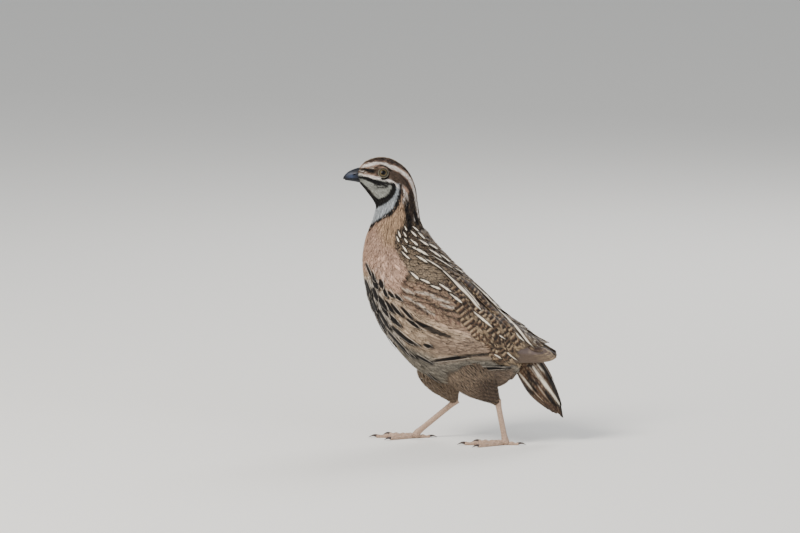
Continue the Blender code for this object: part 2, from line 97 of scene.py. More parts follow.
# Cross-sections: back x, back z, belly x, belly z, half width, roundness, share wider at the belly
BODY = np.array(
    (
        (-44.2, 132.2, -43.9, 125.5, 3.7, 2.1, 0.0),
        (-40.6, 135.8, -40.6, 121.4, 6.7, 2.0, 0.05),
        (-34.3, 137.6, -37.4, 117.1, 8.9, 2.0, 0.05),
        (-27.6, 136.4, -36.0, 114.0, 9.7, 2.0, 0.06),
        (-21.1, 131.5, -36.6, 111.1, 9.3, 2.0, 0.04),
        (-17.3, 123.8, -37.4, 108.2, 8.9, 2.0, 0.0),
        (-15.8, 114.2, -39.1, 103.7, 9.8, 2.0, 0.0),
        (-13.9, 105.1, -41.5, 96.5, 13.2, 2.0, 0.0),
        (-7.4, 95.8, -42.5, 86.4, 18.6, 2.1, 0.02),
        (2.6, 85.2, -40.8, 73.9, 22.4, 2.2, 0.05),
        (13.7, 74.4, -35.3, 59.5, 23.6, 2.2, 0.06),
        (22.8, 65.0, -26.6, 46.1, 22.8, 2.2, 0.06),
        (29.0, 57.2, -13.2, 33.1, 19.8, 2.1, 0.05),
        (33.0, 50.4, 8.0, 25.4, 14.8, 2.0, 0.0),
        (35.6, 44.8, 24.6, 27.4, 9.6, 2.0, 0.0),
        (36.8, 41.6, 31.2, 35.4, 6.0, 2.0, 0.0),
    )
)
BODY_END = len(BODY) - 1.0
WING_START = 7  # the body section that is the folded wing's first
WING_FREE = (
    (29.6, 59.6, -11.3, 37.0, 20.6, 2.1, 0.0),
    (36.0, 54.4, 7.9, 34.1, 15.8, 2.0, 0.0),
    (42.0, 50.0, 26.2, 35.0, 11.8, 2.0, 0.0),
    (47.9, 46.9, 42.0, 36.9, 8.4, 2.0, 0.0),
    (52.9, 44.0, 51.9, 39.2, 5.6, 2.0, 0.0),
)
WING = np.vstack((BODY[WING_START : WING_START + 5], WING_FREE))
TAIL = np.array(
    (
        (36.0, 46.0, 29.5, 37.2, 6.0, 2.0, 0.0),
        (43.0, 38.4, 33.2, 30.4, 6.6, 2.0, 0.0),
        (48.4, 28.6, 38.4, 22.8, 5.4, 2.0, 0.0),
        (52.0, 18.6, 46.6, 15.9, 3.4, 2.0, 0.0),
        (53.4, 12.2, 52.4, 11.6, 1.4, 2.0, 0.0),
    )
)
# Folded wing: guide section, and its upper and lower edge in degrees
WING_EDGES = np.array(
    (
        (1.25, 82.0, 98.0),
        (2.2, 50.0, 112.0),
        (4.2, 29.0, 106.0),
        (6.6, 24.0, 96.0),
        (8.7, 62.0, 90.0),
    )
)
WING_CREST = np.array(((0.3,), (2.1,), (1.9,), (1.0,), (0.35,)))
# Bill: distance from its base, height over the mouth line, depth below it, half width
BILL_BASE = (-44.3, 127.3)
BILL = np.array(
    (
        (-2.6, 5.6, 2.0, 3.5),
        (0.0, 5.2, 1.7, 3.4),
        (1.8, 4.7, 1.3, 3.0),
        (4.2, 3.7, 1.0, 2.2),
        (6.1, 2.4, 0.7, 1.4),
        (7.4, 0.9, 0.4, 0.6),
    )
)
BILL_NOSE = 0.45  # the point beyond the last section
# Hip, heel and foot of each leg, with y on its own side
LEGS = {
    "left": (-1, (4.0, 10.5, 41.0), (22.5, 11.5, 20.4), (26.0, 11.0, 1.7)),
    "right": (1, (-8.0, 10.5, 39.5), (2.0, 11.5, 17.6), (-16.5, 11.5, 1.7)),
}
# Thigh: share of its length, half depth, half width
THIGH = np.array(
    (
        (0.0, 10.5, 7.6),
        (0.3, 10.6, 7.8),
        (0.55, 8.6, 6.6),
        (0.76, 5.4, 4.4),
        (0.92, 2.7, 2.5),
        (1.0, 1.7, 1.6),
    )
)
# Toes: degrees outwards from straight ahead, length, thickness, number of scutes
TOES = {
    "middle": (2.0, 19.5, 1.25, 17),
    "inner": (-30.0, 14.5, 1.15, 13),
    "outer": (33.0, 15.5, 1.15, 14),
    "hind": (172.0, 6.5, 1.0, 6),
}
# The sections above have the bird off centre by this much
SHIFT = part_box("bill_upper")[0].x / MM - (BILL_BASE[0] - BILL[-1][0] - BILL_NOSE)

# The markings are drawn on a plan of the bird's left side, seen from a little above, in units of
# PLAN_UNIT mm to the right and down. They are mirrored to the right side.
PLAN_UNIT = 0.48
PLAN_ORIGIN = (451.0, 442.0)
PLAN_TILT = math.radians(7.0)
# The photograph's frame on the plan
FRAME_WIDTH = 800
FRAME_MIDDLE = (400, 266.5)

# Zones of the body and the head: colour, softness of the edge, corners on the plan
BODY_ZONES = (
    ("neck", 6, (
        (376, 226), (386, 217), (398, 206), (404, 194), (412, 200), (412, 232), (401, 250), (384, 246),
    )),
    ("flank", 6, (
        (350, 268), (371, 272), (386, 288), (402, 300), (430, 318), (470, 334), (492, 348), (470, 362),
        (400, 362), (345, 330),
    )),
    ("pale", 3, (
        (360, 276), (371, 280), (381, 298), (391, 322), (404, 344), (392, 346), (374, 324), (362, 300),
    )),
    ("plume", 4, ((428, 336), (448, 338), (470, 338), (487, 348), (482, 354), (452, 356), (432, 352))),
    ("belly", 5, (
        (396, 342), (412, 347), (428, 354), (440, 361), (470, 357), (492, 357), (560, 372), (520, 420),
        (390, 420),
    )),
    ("thigh", 4, ((448, 372), (470, 370), (512, 368), (530, 400), (500, 420), (440, 420))),
)
HEAD_ZONES = (
    ("ear", 1.4, (
        (375, 167), (392, 170), (402, 174), (408, 182), (410, 192), (405, 187), (400, 185), (393, 184),
        (388, 180), (375, 176),
    )),
    ("crown", 0.8, (
        (340, 150), (352, 168), (360, 166), (366, 162.4), (372, 161.3), (379, 160.8), (385, 161.8),
        (391, 164), (397, 166.4), (402, 168.9), (407, 172.8), (411, 178), (414, 185), (415.8, 193),
        (417.5, 204), (419.6, 215), (421, 224), (440, 224), (430, 150),
    )),
    ("lore", 1.0, (
        (350, 168), (358, 167.6), (367, 168.6), (375, 167), (378, 171), (374, 175), (366, 173.6),
        (358, 175), (350, 174),
    )),
    ("cheek", 0.8, (
        (352, 174), (360, 174), (366, 176), (376, 178), (386, 180.5), (393, 183), (395, 187),
        (390, 196), (383, 200), (377, 200), (370, 191),
    )),
    ("throat", 1.0, (
        (377, 206), (384, 203), (391, 198), (394, 192), (393, 184), (400, 184), (400, 196), (396, 206),
        (388, 215), (379, 220), (371, 225), (366, 215),
    )),
    ("black", 0.8, (
        (350, 178.8), (357, 179.8), (361.5, 182.2), (366, 186.2), (370.6, 191), (375, 196.6),
        (380, 200.4), (380, 206), (377, 209), (370, 209), (350, 195),
    )),
)
# Lines on the head: (x, y, half width) points on the plan
WHITE_LINES = (
    (
        (360.3, 167.4, 0.7), (365, 166, 1.5), (370, 164.9, 1.8), (375, 163.7, 1.6), (380, 163.4, 1.1),
        (385, 164.6, 1.5), (390, 166.8, 1.8), (396, 168.9, 1.6), (401, 171.6, 1.5), (405, 174.6, 1.5),
        (408.8, 178.4, 1.5), (411.8, 183.2, 1.4), (413.8, 188.7, 1.3), (415.2, 194.7, 1.2),
        (416.4, 201.7, 1.2), (417.6, 209, 1.0), (419, 217, 0.9),
    ),
    (
        (359.5, 174, 0.7), (365, 175.8, 1.2), (370, 177, 1.3), (376, 178.2, 1.3), (382, 179.2, 1.3),
        (387, 180.4, 1.4), (391.5, 182, 1.5), (395.5, 184.6, 1.2), (398, 188, 0.7),
    ),
)
# Whitish, broken lines on the side of the neck
BROKEN_WHITE = (
    ((359.5, 170.6, 0.5), (364, 171.6, 0.8), (367, 173.2, 0.5)),
    ((370, 168.6, 0.3), (374.5, 168.3, 0.5)),
    ((402.5, 186, 0.8), (404.2, 191, 1.2), (404.6, 197, 1.0), (403.5, 203, 0.6)),
    ((406.5, 193, 0.5), (407.3, 199, 0.8), (407, 206, 0.5)),
    ((413, 214, 0.4), (414.5, 221, 0.6)),
)
BLACK_LINES = (
    (
        (356, 177.4, 1.0), (362, 177.9, 1.2), (367, 179, 1.4), (371, 180.6, 1.8), (375, 182.3, 2.0),
        (379, 183.1, 1.6), (383, 183.2, 1.1), (388, 183.6, 0.8), (391, 184.5, 0.5),
    ),
    (
        (391.5, 183.5, 1.0), (393.8, 186, 1.8), (394, 189.5, 2.4), (392.2, 194, 2.6),
        (388.3, 198.4, 2.8), (384, 201, 3.1), (379, 203, 3.5),
    ),
    ((376, 167.6, 0.4), (379, 166.2, 0.6), (383, 165.8, 0.6), (387.5, 167.7, 0.6), (391, 171.5, 0.5)),
    (
        (362, 169.6, 0.5), (366, 169.8, 0.9), (369.5, 171.2, 1.3), (372.5, 171.8, 1.3),
        (375.5, 170.8, 0.6),
    ),
)
BROKEN_BLACK = (
    ((368, 230, 1.2), (372.5, 225.4, 1.3), (376, 222.3, 1.4), (380.5, 219.8, 1.1), (384.5, 217.2, 1.0)),
    (
        (384, 216.4, 1.2), (388, 215.8, 2.4), (391, 213.2, 1.6), (394.5, 209.6, 1.2),
        (397, 205.2, 1.9), (398.8, 200.5, 1.9), (400, 195, 1.2), (400.6, 189, 0.8),
        (401.3, 185.5, 0.6),
    ),
    ((375, 186, 0.4), (379, 185.2, 0.7), (383, 184.8, 0.8), (386, 186, 0.6), (389, 185, 0.5)),
    ((378, 187.6, 0.3), (384, 187.8, 0.5), (388, 187, 0.3)),
    ((407.5, 203, 0.8), (406.5, 210, 1.1), (408, 216, 1.9), (409.6, 222, 1.9), (409.4, 230, 1.7)),
    ((413.5, 209, 0.6), (415.5, 215, 0.8), (417.4, 224, 0.6)),
    ((402.5, 190, 0.4), (402.7, 196, 0.5)),
)
DARK_LINES = (
    (
        (399.5, 174, 0.5), (402.8, 177, 0.9), (406.6, 182, 1.5), (409.5, 187.8, 1.9),
        (411.3, 194.4, 2.0), (411.8, 201, 1.9), (411.2, 208, 1.6), (410.8, 216, 1.4),
        (411.5, 225, 1.2),
    ),
    (
        (362, 163.6, 0.8), (368, 162.2, 0.9), (375, 161.3, 0.8), (381, 161.4, 0.8), (387, 163.4, 0.7),
        (392, 165.4, 0.6),
    ),
)
# Black shaft streaks on the flank, and creases between the long flank feathers
FLANK_STREAKS = (
    ((366, 264, 0.4), (369, 270, 0.6), (373, 279, 0.8)),
    ((373, 280, 1.1), (376, 284.5, 1.9), (378.5, 289, 0.8)),
    ((365.5, 280, 0.8), (369, 289, 1.8), (373, 297, 1.0)),
    ((373.5, 289, 1.0), (376, 294, 1.8), (378.5, 301, 0.9)),
    ((380, 280, 0.8), (381.5, 284, 1.4), (383.5, 289, 0.7)),
    ((383.5, 289.5, 0.7), (386, 294, 1.0), (388, 297.5, 0.5)),
    ((388.5, 291.5, 0.6), (392, 295, 0.9), (395, 297.5, 0.5)),
    ((395, 294.5, 0.7), (398, 297.5, 1.1), (402.5, 300.5, 0.6)),
    ((378.5, 295.5, 0.8), (381.5, 300, 1.7), (384.5, 306, 1.6), (389, 310, 0.9)),
    ((365.5, 291, 0.6), (368, 296, 1.1), (371, 301, 0.6)),
    ((367, 299, 0.6), (370.5, 305, 1.2), (374.5, 313, 0.7)),
    ((373, 299, 0.8), (375.5, 305, 1.8), (379, 312, 0.9)),
    ((374, 312, 0.9), (377, 319, 1.8), (381.5, 326, 1.3), (386, 333, 0.6)),
    ((379.5, 310, 0.8), (383, 317.5, 1.7), (387, 324, 1.2), (392, 330, 0.5)),
    ((385.5, 311, 0.7), (391, 317, 1.5), (396.5, 322.5, 1.5), (401.5, 326.5, 0.7)),
    ((391, 303, 0.5), (396, 309.5, 1.2), (404, 317, 0.7)),
    ((401, 307, 0.5), (407, 313, 1.1), (413, 319.5, 0.6)),
    ((392, 325, 0.8), (398, 331.5, 1.9), (404.5, 338, 1.9), (411, 342.5, 1.5), (420, 345.5, 0.8)),
    ((384, 325, 0.5), (391, 334, 1.2), (399, 343, 1.3), (406, 351, 1.3), (413, 356.5, 0.7)),
    ((382, 331, 0.5), (389, 339.5, 0.9), (396.5, 347.5, 0.6)),
    ((416, 355, 0.5), (424, 359, 1.0), (432, 363, 0.6)),
    ((407, 319, 0.5), (413, 323, 1.2), (420, 328, 0.7)),
    ((416, 320.5, 0.6), (424, 325.5, 1.6), (432, 329.5, 2.0), (440, 333, 1.7), (448.5, 335.8, 0.8)),
    ((424.5, 344, 0.7), (428, 345.5, 1.5), (432, 346, 0.6)),
    ((436, 360.5, 0.8), (452, 358.3, 1.2), (460, 356.3, 1.0), (472, 354.8, 0.9), (488.5, 354.2, 1.0)),
    ((470, 368.5, 0.6), (480, 369, 0.8), (490, 368, 0.8), (499, 366, 0.8), (509, 367.5, 0.7)),
    ((428, 374, 0.4), (434, 378.5, 0.7), (440, 384, 0.5)),
    ((366.5, 284, 0.8), (368.5, 291, 1.5), (371, 298, 0.9)),
    ((369.5, 298, 1.0), (373.5, 306.5, 1.7), (378, 315, 1.0)),
    ((378, 316, 1.0), (382.5, 323.5, 1.7), (388, 331, 1.0)),
    ((388, 330, 0.8), (394, 337.5, 1.5), (401, 345, 1.0)),
    ((381, 303, 0.8), (385, 310, 1.5), (390, 317, 0.8)),
    ((386, 301, 0.7), (390, 307, 1.3), (395, 313, 0.7)),
    ((371.5, 272, 0.6), (374, 277, 1.1), (376, 281, 0.6)),
    ((402, 347, 0.6), (409, 353, 1.1), (417, 358, 0.6)),
)
# The back and the folded wing, and their zones
WING_ZONE = (
    (402, 200), (405, 214), (403, 226), (396, 232), (394, 246), (399, 258), (405, 266), (407, 273),
    (402, 282), (400, 292), (404, 301), (413, 311), (430, 319), (450, 325), (470, 333), (480, 342),
    (488, 352), (504, 362), (528, 371), (575, 376), (580, 320), (520, 240), (440, 190), (416, 185),
)
BACK_ZONES = (
    ("olive", 4, ((408, 250), (424, 257), (446, 268), (442, 283), (412, 280), (405, 270))),
    ("covert", 4, (
        (398, 282), (420, 283), (446, 292), (468, 313), (482, 341), (460, 332), (425, 320), (398, 304),
    )),
    ("rufous", 3, (
        (456, 282), (470, 282), (500, 312), (512, 330), (508, 360), (488, 356), (482, 341), (468, 318),
    )),
    ("tertial", 3, (
        (484, 316), (500, 318), (512, 328), (522, 343), (529, 366), (518, 369), (508, 352), (496, 335),
    )),
)
DORSAL_ZONE = (
    (417, 219), (425, 229), (434, 239), (447, 252), (462, 267), (480, 285), (498, 302), (513, 319),
    (527, 336), (540, 350), (600, 352), (600, 280), (470, 205), (430, 195),
)
BARRED_ZONE = (
    (448, 272), (466, 278), (500, 308), (528, 345), (532, 370), (500, 364), (484, 350), (468, 330),
    (456, 300),
)
CREAM_STREAKS = (
    ((398.3, 231.5, 0.4), (400.5, 238, 0.8)),
    ((396.8, 237, 0.4), (399, 242.5, 0.7)),
    ((403.5, 232.5, 0.4), (406.3, 237.5, 0.7)),
    ((404.5, 226.5, 0.4), (406.8, 231, 0.7)),
    ((404.3, 239, 0.6), (407.3, 243.5, 0.8)),
    ((402.3, 246, 0.5), (407, 253, 0.9)),
    ((402, 251.5, 0.4), (405, 256, 0.7), (410, 260, 0.7)),
    ((411, 231.5, 0.6), (416.3, 237, 1.2)),
    ((412.3, 226.5, 0.5), (418.5, 231.5, 1.0)),
    ((410.8, 240, 0.5), (417.3, 246, 1.2)),
    ((418, 233, 0.7), (424.3, 239.3, 1.3)),
    ((419.5, 240.5, 0.7), (428, 246.7, 1.3)),
    ((429, 244.7, 0.8), (436.5, 250.3, 1.4)),
    ((410, 247, 0.6), (418, 250, 0.9), (427.5, 256.5, 1.4)),
    ((416.5, 256.5, 0.6), (426.3, 263.3, 1.2)),
    ((429, 250.3, 0.7), (434, 254, 1.1), (439.5, 258.3, 1.3)),
    ((440, 255.5, 0.7), (449, 264, 1.2)),
    ((424, 259, 0.4), (434, 265, 0.6), (441, 270.5, 0.7)),
    ((432, 256, 0.4), (441, 262, 0.5), (452, 270, 0.6)),
    ((455, 269, 0.6), (462, 274.5, 0.8)),
    ((411, 272.5, 0.6), (418.5, 279.5, 1.1)),
    ((420, 279.5, 0.5), (425, 281, 0.9), (429.5, 283.8, 1.0)),
    ((430, 285.3, 0.7), (440, 289.5, 1.0)),
    ((437.5, 283, 0.6), (450, 292.3, 1.1)),
    ((450, 294, 0.7), (456, 299, 1.2), (461, 303.3, 0.8)),
    (
        (440, 269.5, 0.7), (447, 275, 1.2), (453, 281, 1.7), (460, 289, 2.0), (466, 295, 1.7),
        (470, 300, 1.0), (479, 310, 0.5),
    ),
    ((464.5, 288.5, 0.6), (469, 295, 1.5), (475, 303, 1.6), (481, 311, 1.3), (485.5, 315.5, 0.6)),
    ((470.5, 310.5, 0.6), (477, 315.5, 1.3), (484, 321.5, 1.2), (490.5, 327.5, 0.6)),
    ((472, 283.5, 0.5), (478, 289, 1.2), (485, 296.5, 1.7), (492, 303.5, 2.0), (499, 310.5, 2.1)),
    (
        (493, 305, 1.2), (499, 311, 1.9), (506, 317.5, 2.0), (512, 325, 1.8), (519, 334, 1.7),
        (525, 340.5, 1.2), (530.5, 345, 0.6),
    ),
    ((502, 321, 0.5), (509, 328, 1.0), (516, 335.5, 1.2), (523, 341.5, 0.7)),
    ((492, 339, 0.5), (499, 345, 0.7), (507, 351.5, 0.6), (516.5, 359, 0.4)),
    ((489, 349, 0.5), (495, 354, 0.8), (500.5, 357, 0.5)),
    ((491, 330.5, 0.4), (498, 335, 0.5), (504, 339, 0.3)),
)
# Barred feathers of the shoulder and the inner wing, from root to tip
BARRED_FEATHERS = (
    ((446, 280), (456, 291), (467, 306)),
    ((452, 290), (462, 303), (474, 319)),
    ((455, 302), (467, 317), (479, 331)),
    ((466, 296), (476, 307), (487, 321)),
    ((461, 315), (473, 330), (486, 345)),
    ((476, 304), (488, 317), (500, 330)),
    ((470, 328), (484, 343), (497, 358)),
    ((478, 318), (490, 332), (502, 346)),
    ((486, 322), (499, 337), (511, 352)),
    ((482, 338), (494, 351), (506, 363)),
    ((490, 336), (501, 349), (512, 361)),
    ((495, 330), (505, 342), (515, 354)),
    ((503, 326), (511, 336), (520, 347)),
    ((450, 296), (458, 307), (467, 318)),
    ((460, 288), (470, 299), (480, 311)),
    ((464, 308), (474, 320), (485, 333)),
    ((474, 316), (484, 328), (494, 340)),
    ((489, 314), (500, 326), (510, 338)),
    ((485, 346), (494, 355), (503, 363)),
    ((462, 279), (474, 291), (486, 303)),
    ((472, 290), (484, 302), (496, 315)),
    ((484, 302), (496, 314), (507, 327)),
    ((494, 314), (505, 326), (515, 338)),
)
# Pale shafts and dark gaps of the wing coverts
PALE_STREAKS = (
    ((403, 296, 0.5), (410, 299, 0.9), (418, 303.5, 1.1), (426, 309.5, 1.2), (434, 314.3, 0.8)),
    ((415, 291.3, 0.7), (424, 293, 1.3), (433.5, 295.3, 0.8)),
    ((431, 297, 0.8), (440, 299.5, 1.4), (448.5, 302.3, 0.9)),
    ((440.5, 304.5, 0.6), (448, 306.3, 1.3), (458, 308.5, 1.4), (467, 312, 0.8)),
    ((397, 283, 0.5), (402, 287.5, 0.8), (408, 292, 0.6)),
    ((407, 289, 0.5), (413.5, 293.8, 0.7)),
    ((452, 328, 0.7), (460, 331, 0.8), (470, 336, 0.6)),
)
DARK_STREAKS = (
    ((404, 291.5, 0.5), (412, 295, 0.8), (421, 298, 0.9), (430, 301, 0.8)),
    ((411, 302, 0.5), (419, 308, 1.2), (428, 314, 0.8)),
    ((430, 303, 0.6), (436, 306, 1.1), (444, 309.5, 1.2), (452, 311, 1.0), (463, 314.5, 0.7)),
    ((420, 287.5, 0.5), (430, 291.5, 0.8), (440, 295, 0.8), (448, 299, 0.7)),
    ((404, 300.5, 0.5), (407.5, 305, 1.1), (410, 308.5, 0.6)),
    ((446, 316, 0.6), (454, 318, 0.9), (464, 323, 0.7)),
    ((472, 330, 0.8), (475, 336, 1.3), (480, 338, 0.6)),
    ((487, 331, 1.2), (491, 334, 1.6), (496, 336, 1.0)),
    ((489, 342, 1.6), (492, 346, 1.8)),
    ((497, 338, 0.7), (496.5, 345, 0.9), (498.5, 352, 0.9)),
    ((490, 356.5, 0.8), (493, 359.5, 0.8)),
    ((503, 353, 1.5), (506, 358, 1.8), (512, 360, 1.0)),
    ((495, 314, 0.6), (498, 318, 1.0), (503, 320, 0.7)),
    ((501, 325, 0.7), (508, 330.5, 0.8), (514, 337, 0.7)),
)
TAIL_CREAMS = (
    (
        (533, 367, 0.8), (539, 376, 1.5), (545, 384, 2.0), (550, 390.5, 1.4), (555, 397.5, 1.2),
        (560, 405, 0.7),
    ),
    ((537, 364, 0.6), (543, 371, 0.9)),
    ((519, 373, 0.6), (524, 379, 1.1), (529, 385.5, 0.9), (532, 389.5, 0.4)),
    ((549, 372, 0.3), (552.5, 378, 0.4), (555, 384, 0.3)),
)
TAIL_BLACKS = (
    ((528, 365.5, 1.2), (532, 366, 1.0)),
    (
        (541, 364, 1.2), (547, 373, 1.6), (552, 383, 1.7), (556, 393, 1.4), (560, 403, 1.5),
        (564, 417, 1.2),
    ),
    ((528, 372, 1.0), (530, 379, 0.9), (537, 384, 1.5)),
    ((521, 384, 0.9), (527, 389.5, 1.0), (533, 394, 0.7)),
    ((527, 380, 0.6), (531, 385, 0.7), (536, 391.5, 0.9)),
    ((545, 391, 1.0), (550, 398, 1.6), (555, 405, 1.2)),
)
# The lie of the feathers: a place on the plan, and the way they point, in degrees below the horizontal
LIE = np.array(
    (
        (368, 235, 100), (372, 262, 92), (385, 240, 84), (390, 268, 72), (398, 222, 80), (408, 215, 80),
        (367, 288, 72), (378, 284, 62), (372, 305, 63), (384, 303, 55), (379, 322, 58), (390, 332, 50),
        (398, 312, 45), (404, 338, 42), (398, 346, 47), (412, 352, 38), (414, 322, 33), (424, 345, 14),
        (436, 331, 23), (425, 360, 26), (450, 336, 12), (445, 350, 2), (468, 347, 0), (486, 352, -4),
        (460, 362, 2), (420, 378, 42), (450, 378, 30), (500, 370, 30), (399, 238, 66), (405, 252, 58),
        (413, 232, 46), (424, 240, 42), (434, 248, 37), (422, 256, 36), (446, 260, 43), (452, 280, 47),
        (470, 297, 54), (482, 312, 50), (488, 300, 46), (505, 318, 47), (520, 335, 50), (414, 276, 42),
        (428, 283, 22), (446, 288, 37), (456, 300, 40), (412, 301, 28), (426, 309, 35), (425, 293, 12),
        (442, 300, 18), (458, 309, 16), (478, 318, 42), (500, 348, 39), (515, 352, 46), (455, 322, 25),
        (470, 333, 32), (490, 335, 42), (540, 352, 18),
    ),
    float,
)
LIE_REACH = 9.0  # how far each place steers its surroundings, in plan units
BACK_LIE = (0.66, 0.75)  # the usual direction of the back's feathers on the plan

# Where markings set in: the place on the plan where they start, and where they are at their fullest
MANTLE_X, MANTLE_Y = (440, 420), (262, 250)
CROWN_LINE_Y = (172, 164)
NECK_TOP_Y, NECK_LOW_Y = (176, 184), (238, 226)
FLECKS_X, FLECKS_REAR_X = (366, 374), (393, 388)
FLECKS_TOP_Y, FLECKS_LOW_Y = (182, 185), (200, 190)
FRONT_X, FRONT_Y = (400, 370), (262, 275)
WHITE_MOTTLE_X = (400, 390)
THIGH_REAR_X, THIGH_REAR_Y = (470, 485), (376, 384)
# The black streaks ahead of and above this place are the broad ones
BROAD_STREAKS = (389, 335)
# Cross-bars and ticks of the back, in plan units from one to the next
FINE_BARS, BROAD_BARS = 2.7, 6.0
TICKS_AHEAD, TICKS_ASIDE = 3.6, 2.6

# Gaps between neighbouring small feathers and their lengths: sections, and millimetres at each
HEAD_GAPS = ((0, 2, 4.4, 5.5, 7.4), (0.36, 0.4, 0.47, 0.53, 0.6))
HEAD_LENGTHS = ((0, 1, 4.4, 7.4), (1.2, 1.6, 2.4, 3.6))
BODY_GAPS = ((7, 8, 10, 15), (0.57, 0.62, 0.68, 0.72))
BODY_LENGTHS = ((7, 9, 12), (3.8, 4.6, 5.0))
BACK_GAPS = ((0, 2, 4, 6.4), (1.15, 1.4, 2.0, 2.6))
THIGH_GAPS = ((0, 1), (0.85, 0.5))
THIGH_LENGTHS = ((0, 0.8, 1), (4.2, 2.6, 1.4))
THIGH_HALVES = ((0, 1), (0.48, 0.3))
FACE_END = 4.0  # the section where the face's feathers end and the neck's begin
BREAST_END = 9.6
EYE_CLEARANCE = 2.6  # no feather roots this close to an eye's middle, in mm
COAT_RANGE = (7, 15.3)  # the sections that the body's feathers stay between
# Sections and degrees in which the feathers of the flank and of the back are looked for
FLANK_REACH = ((7.2, 14.5), (55, 178))
BACK_REACH = ((-0.6, 9), (2, 125))

NEARLY_ROUND = 359.99  # degrees, so that both sides of a seam stay apart on the baking map
PATCH = 0.003  # how long each feather's patch is on the baking map

LEG_SKIN = "#a98d78"
CLAW_HORN = "#3a2c26"
TAIL_CORE = "#4a3b31"
LID_SKIN = "#645f4d"
LID_EDGE = "#15110e"
# The bill: its ground, the bluish side with a painted highlight on it, the blackened base and tip, and
# painted shade along the mouth's edge
BILL_HORN_AND_PAINTED_LIGHT = ("#14171f", "#303b52", "#0c0d11", "#09090b")
# painted shade: the nostril's hollow is painted near-black
NOSTRIL_SHADE = "#0c0b0d"
# The eye: iris, its outer rim, pupil, and the ring round the iris
EYE_PARTS = ("#54472f", "#6f6447", "#050404", "#0e0b09")
IRIS_RIM, PUPIL_EDGE, IRIS_EDGE = (1.4, 1.65), (1.22, 1.1), (1.68, 1.82)  # in mm from its middle

PALETTE = {
    "breast": ("Breast", "#b3937f", "Pinkish buff of the breast"),
    "neck": ("Neck", "#a98c70", "Buff of the side of the neck"),
    "flank": ("Flank", "#aa947d", "Buff of the flanks"),
    "pale": ("Pale flank", "#cabfb1", "Whitish buff between the black streaks"),
    "plume": ("Flank plumes", "#8e7967", "Pinkish brown of the long flank feathers"),
    "belly": ("Belly", "#7b7468", "Greyish buff of the belly"),
    "thigh": ("Thigh", "#6f5f50", "Brown of the thighs"),
    "back": ("Back", "#3a2c25", "Dark brown of the back"),
    "olive": ("Shoulder", "#6d5f50", "Olive brown of the shoulder"),
    "covert": ("Wing coverts", "#775e4f", "Pinkish brown of the wing coverts"),
    "rufous": ("Rufous", "#59402f", "Red-brown of the barred wing feathers"),
    "tertial": ("Tertials", "#76644f", "Buff-brown of the innermost long wing feathers"),
    "primary": ("Primaries", "#655751", "Grey-brown of the long wing feathers"),
    "bar": ("Bars", "#b39c7d", "Buff of the cross-bars"),
    "cream": ("Shaft streaks", "#ecdfc9", "Cream of the shaft streaks"),
    "crown": ("Crown", "#30251f", "Brown-black of the crown"),
    "white": ("White", "#eee3da", "White of the brow and the face lines"),
    "lore": ("Lore", "#5d4a39", "Buff-brown before the eye"),
    "ear": ("Ear", "#514237", "Olive brown behind the eye"),
    "cheek": ("Cheek", "#999a92", "Grey-white of the cheek"),
    "throat": ("Throat", "#acb1b5", "Cool white of the lower throat"),
    "black": ("Black", "#0e0b0a", "Black of the gorget and the streaks"),
}


def hex_colour(text):
    """An sRGB hex colour as linear values."""
    parts = np.array([int(text[i : i + 2], 16) / 255 for i in (1, 3, 5)])
    return np.where(parts <= 0.04045, parts / 12.92, ((parts + 0.055) / 1.055) ** 2.4)


def hex_property(label, text, note):
    """A colour that the panel shows."""
    return bpy.props.FloatVectorProperty(
        name=label, description=note, subtype="COLOR", size=3, min=0, max=1, default=tuple(hex_colour(text))
    )


class QuailSettings(bpy.types.PropertyGroup):
    """What can be changed about the bird"""

    seed: bpy.props.IntProperty(
        name="Seed", description="Changes how the feathers are scattered", default=7
    )
    coat_depth: bpy.props.FloatProperty(
        name="Coat depth",
        description="How far the skin lies inside the plumage",
        default=0.0012,
        subtype="DISTANCE",
        unit="LENGTH",
    )
    density: bpy.props.FloatProperty(
        name="Density", description="Number of small feathers, 1 as drawn", default=1.0, min=0.2, max=2
    )
    __annotations__.update({key: hex_property(*value) for key, value in PALETTE.items()})


def settings():
    """The panel's values."""
    return bpy.context.scene.quail


def colour(name):
    """One of the palette's colours, as linear values."""
    return np.array(getattr(settings(), name))


def dice(offset):
    """A generator for one piece's random draws."""
    return np.random.default_rng(settings().seed * 100 + offset)


# Shapes of the sections


def along(rows, t):
    """The rows' values at places t on a Catmull-Rom curve through them."""
    last = len(rows) - 1
    i = np.clip(np.floor(t).astype(int), 0, last - 1)
    f = (t - i)[..., None]
    a, b = rows[i], rows[i + 1]
    before = np.where((i > 0)[..., None], rows[np.maximum(i - 1, 0)], 2 * a - b)
    after = np.where((i + 2 <= last)[..., None], rows[np.minimum(i + 2, last)], 2 * b - a)
    second = 2 * before - 5 * a + 4 * b - after
    third = 3 * a - before - 3 * b + after
    return 0.5 * (2 * a + (b - before) * f + second * f**2 + third * f**3)


def tint(rgb, name, amount):
    """Lays one of the palette's colours over others, by this amount at each point."""
    return mix(rgb, colour(name), amount)


def shade(rgb, amount):
    """Darkens or lightens colours by this factor at each point."""
    return rgb * np.asarray(amount)[..., None]


def ground(name, points):
    """One of the palette's colours at each of these points."""
    return np.broadcast_to(colour(name), points.shape)


def unit(v):
    """The same directions at length 1."""
    return v / np.maximum(np.linalg.norm(v, axis=-1, keepdims=True), 1e-12)


def dot(a, b):
    return (a * b).sum(-1)


def ramp(low, high, x):
    """0 below the first value and 1 above the second, with a soft rise between them."""
    f = np.clip((x - low) / (high - low), 0, 1)
    return f * f * (3 - 2 * f)


def fade(ends, x):
    """0 at the first of two places and 1 at the second."""
    return ramp(*ends, x)


def bell(x, width):
    """1 at nothing, falling away on both sides over this width."""
    return np.exp(-((x / width) ** 2))


